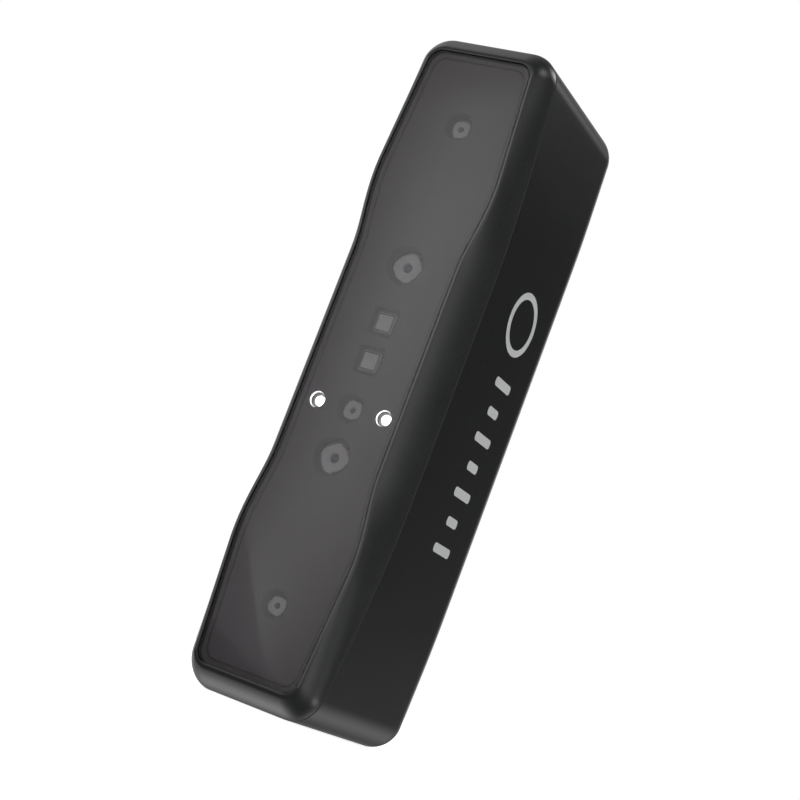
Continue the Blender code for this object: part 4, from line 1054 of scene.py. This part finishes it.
def make_world():
    """Pale to the eye, with soft lights that only the object's surfaces see."""
    world = bpy.data.worlds.new("soft_studio")
    world.use_nodes = True
    bpy.context.scene.world = world
    tree = world.node_tree
    ray = wire(tree, "ShaderNodeTexCoord").outputs["Generated"]
    lights = [lobe(tree, ray, *softbox) for softbox in SOFTBOXES.values()]
    total = summed(tree, [AMBIENT] + lights + [card(tree, ray)])
    seen = wire(tree, "ShaderNodeLightPath").outputs["Is Camera Ray"]
    shown = wire(tree, "ShaderNodeMix", {"data_type": "FLOAT"}, Factor=seen, A=total, B=1.0).outputs["Result"]
    background = tree.nodes["Background"]
    tree.links.new(shown, background.inputs["Strength"])
    background.inputs["Color"].default_value = (1.0, 1.0, 1.0, 1.0)


def make_floor():
    size = 4.0
    mesh = bpy.data.meshes.new("floor")
    corners = [(x * size, y * size, -0.0001) for x, y in ((-1, -1), (1, -1), (1, 1), (-1, 1))]
    mesh.from_pydata(corners, [], [(0, 1, 2, 3)])
    floor = bpy.data.objects.new("floor", mesh)
    bpy.context.scene.collection.objects.link(floor)
    made, tree, shader = new_material("pale_floor")
    seen = wire(tree, "ShaderNodeLightPath").outputs["Is Camera Ray"]
    glow = wire(tree, "ShaderNodeMath", {"operation": "MULTIPLY"}, _0=seen, _1=0.85).outputs[0]
    tree.links.new(glow, shader.inputs["Emission Strength"])
    shader.inputs["Emission Color"].default_value = (1, 1, 1, 1)
    cloud = spread(tree, noise(tree, 30.0), 0.97, 1.03)
    tree.links.new(tint(tree, (0.8, 0.8, 0.8), cloud), shader.inputs["Base Color"])
    shader.inputs["Roughness"].default_value = 0.9
    mesh.materials.append(made)
    floor.visible_glossy = False


def make_camera_view():
    """The camera looks at the aim point along the view's azimuth and elevation, rolled about its axis."""
    lens = bpy.data.cameras.new("main_view")
    lens.lens = VIEW.focal_length
    lens.sensor_width = 36.0
    lens.clip_start = 0.01
    camera = bpy.data.objects.new("main_view", lens)
    bpy.context.scene.collection.objects.link(camera)
    away = Vector(direction(VIEW.azimuth, VIEW.elevation))
    level = away.to_track_quat("Z", "Y").to_matrix().to_4x4()
    place = Vector(VIEW.aim) * MM + away * VIEW.distance * MM
    camera.matrix_world = Matrix.Translation(place) @ level @ Matrix.Rotation(math.radians(VIEW.roll), 4, "Z")
    bpy.context.scene.camera = camera


def main():
    for part in frame["record"]["subparts"]:
        node = frame["nodes"][part["node"]]
        node.data.materials.clear()
        node.data.materials.append(MATERIALS[part["material_slot"]])
    make_window()
    make_bezel()
    make_mask()
    for index, name in enumerate(CAMERAS):
        make_camera(name, TAB_TURN * index, APERTURE_SHARE)
    make_projectors()
    make_lights()
    make_housing()
    make_cover()
    make_buttons()
    make_indicator()
    for name in ("upper", "lower"):
        make_cover_screw(name)
    make_insert()
    make_usb()
    make_mark()
    make_world()
    make_floor()
    make_camera_view()
    bpy.context.scene.view_settings.view_transform = "Standard"


main()
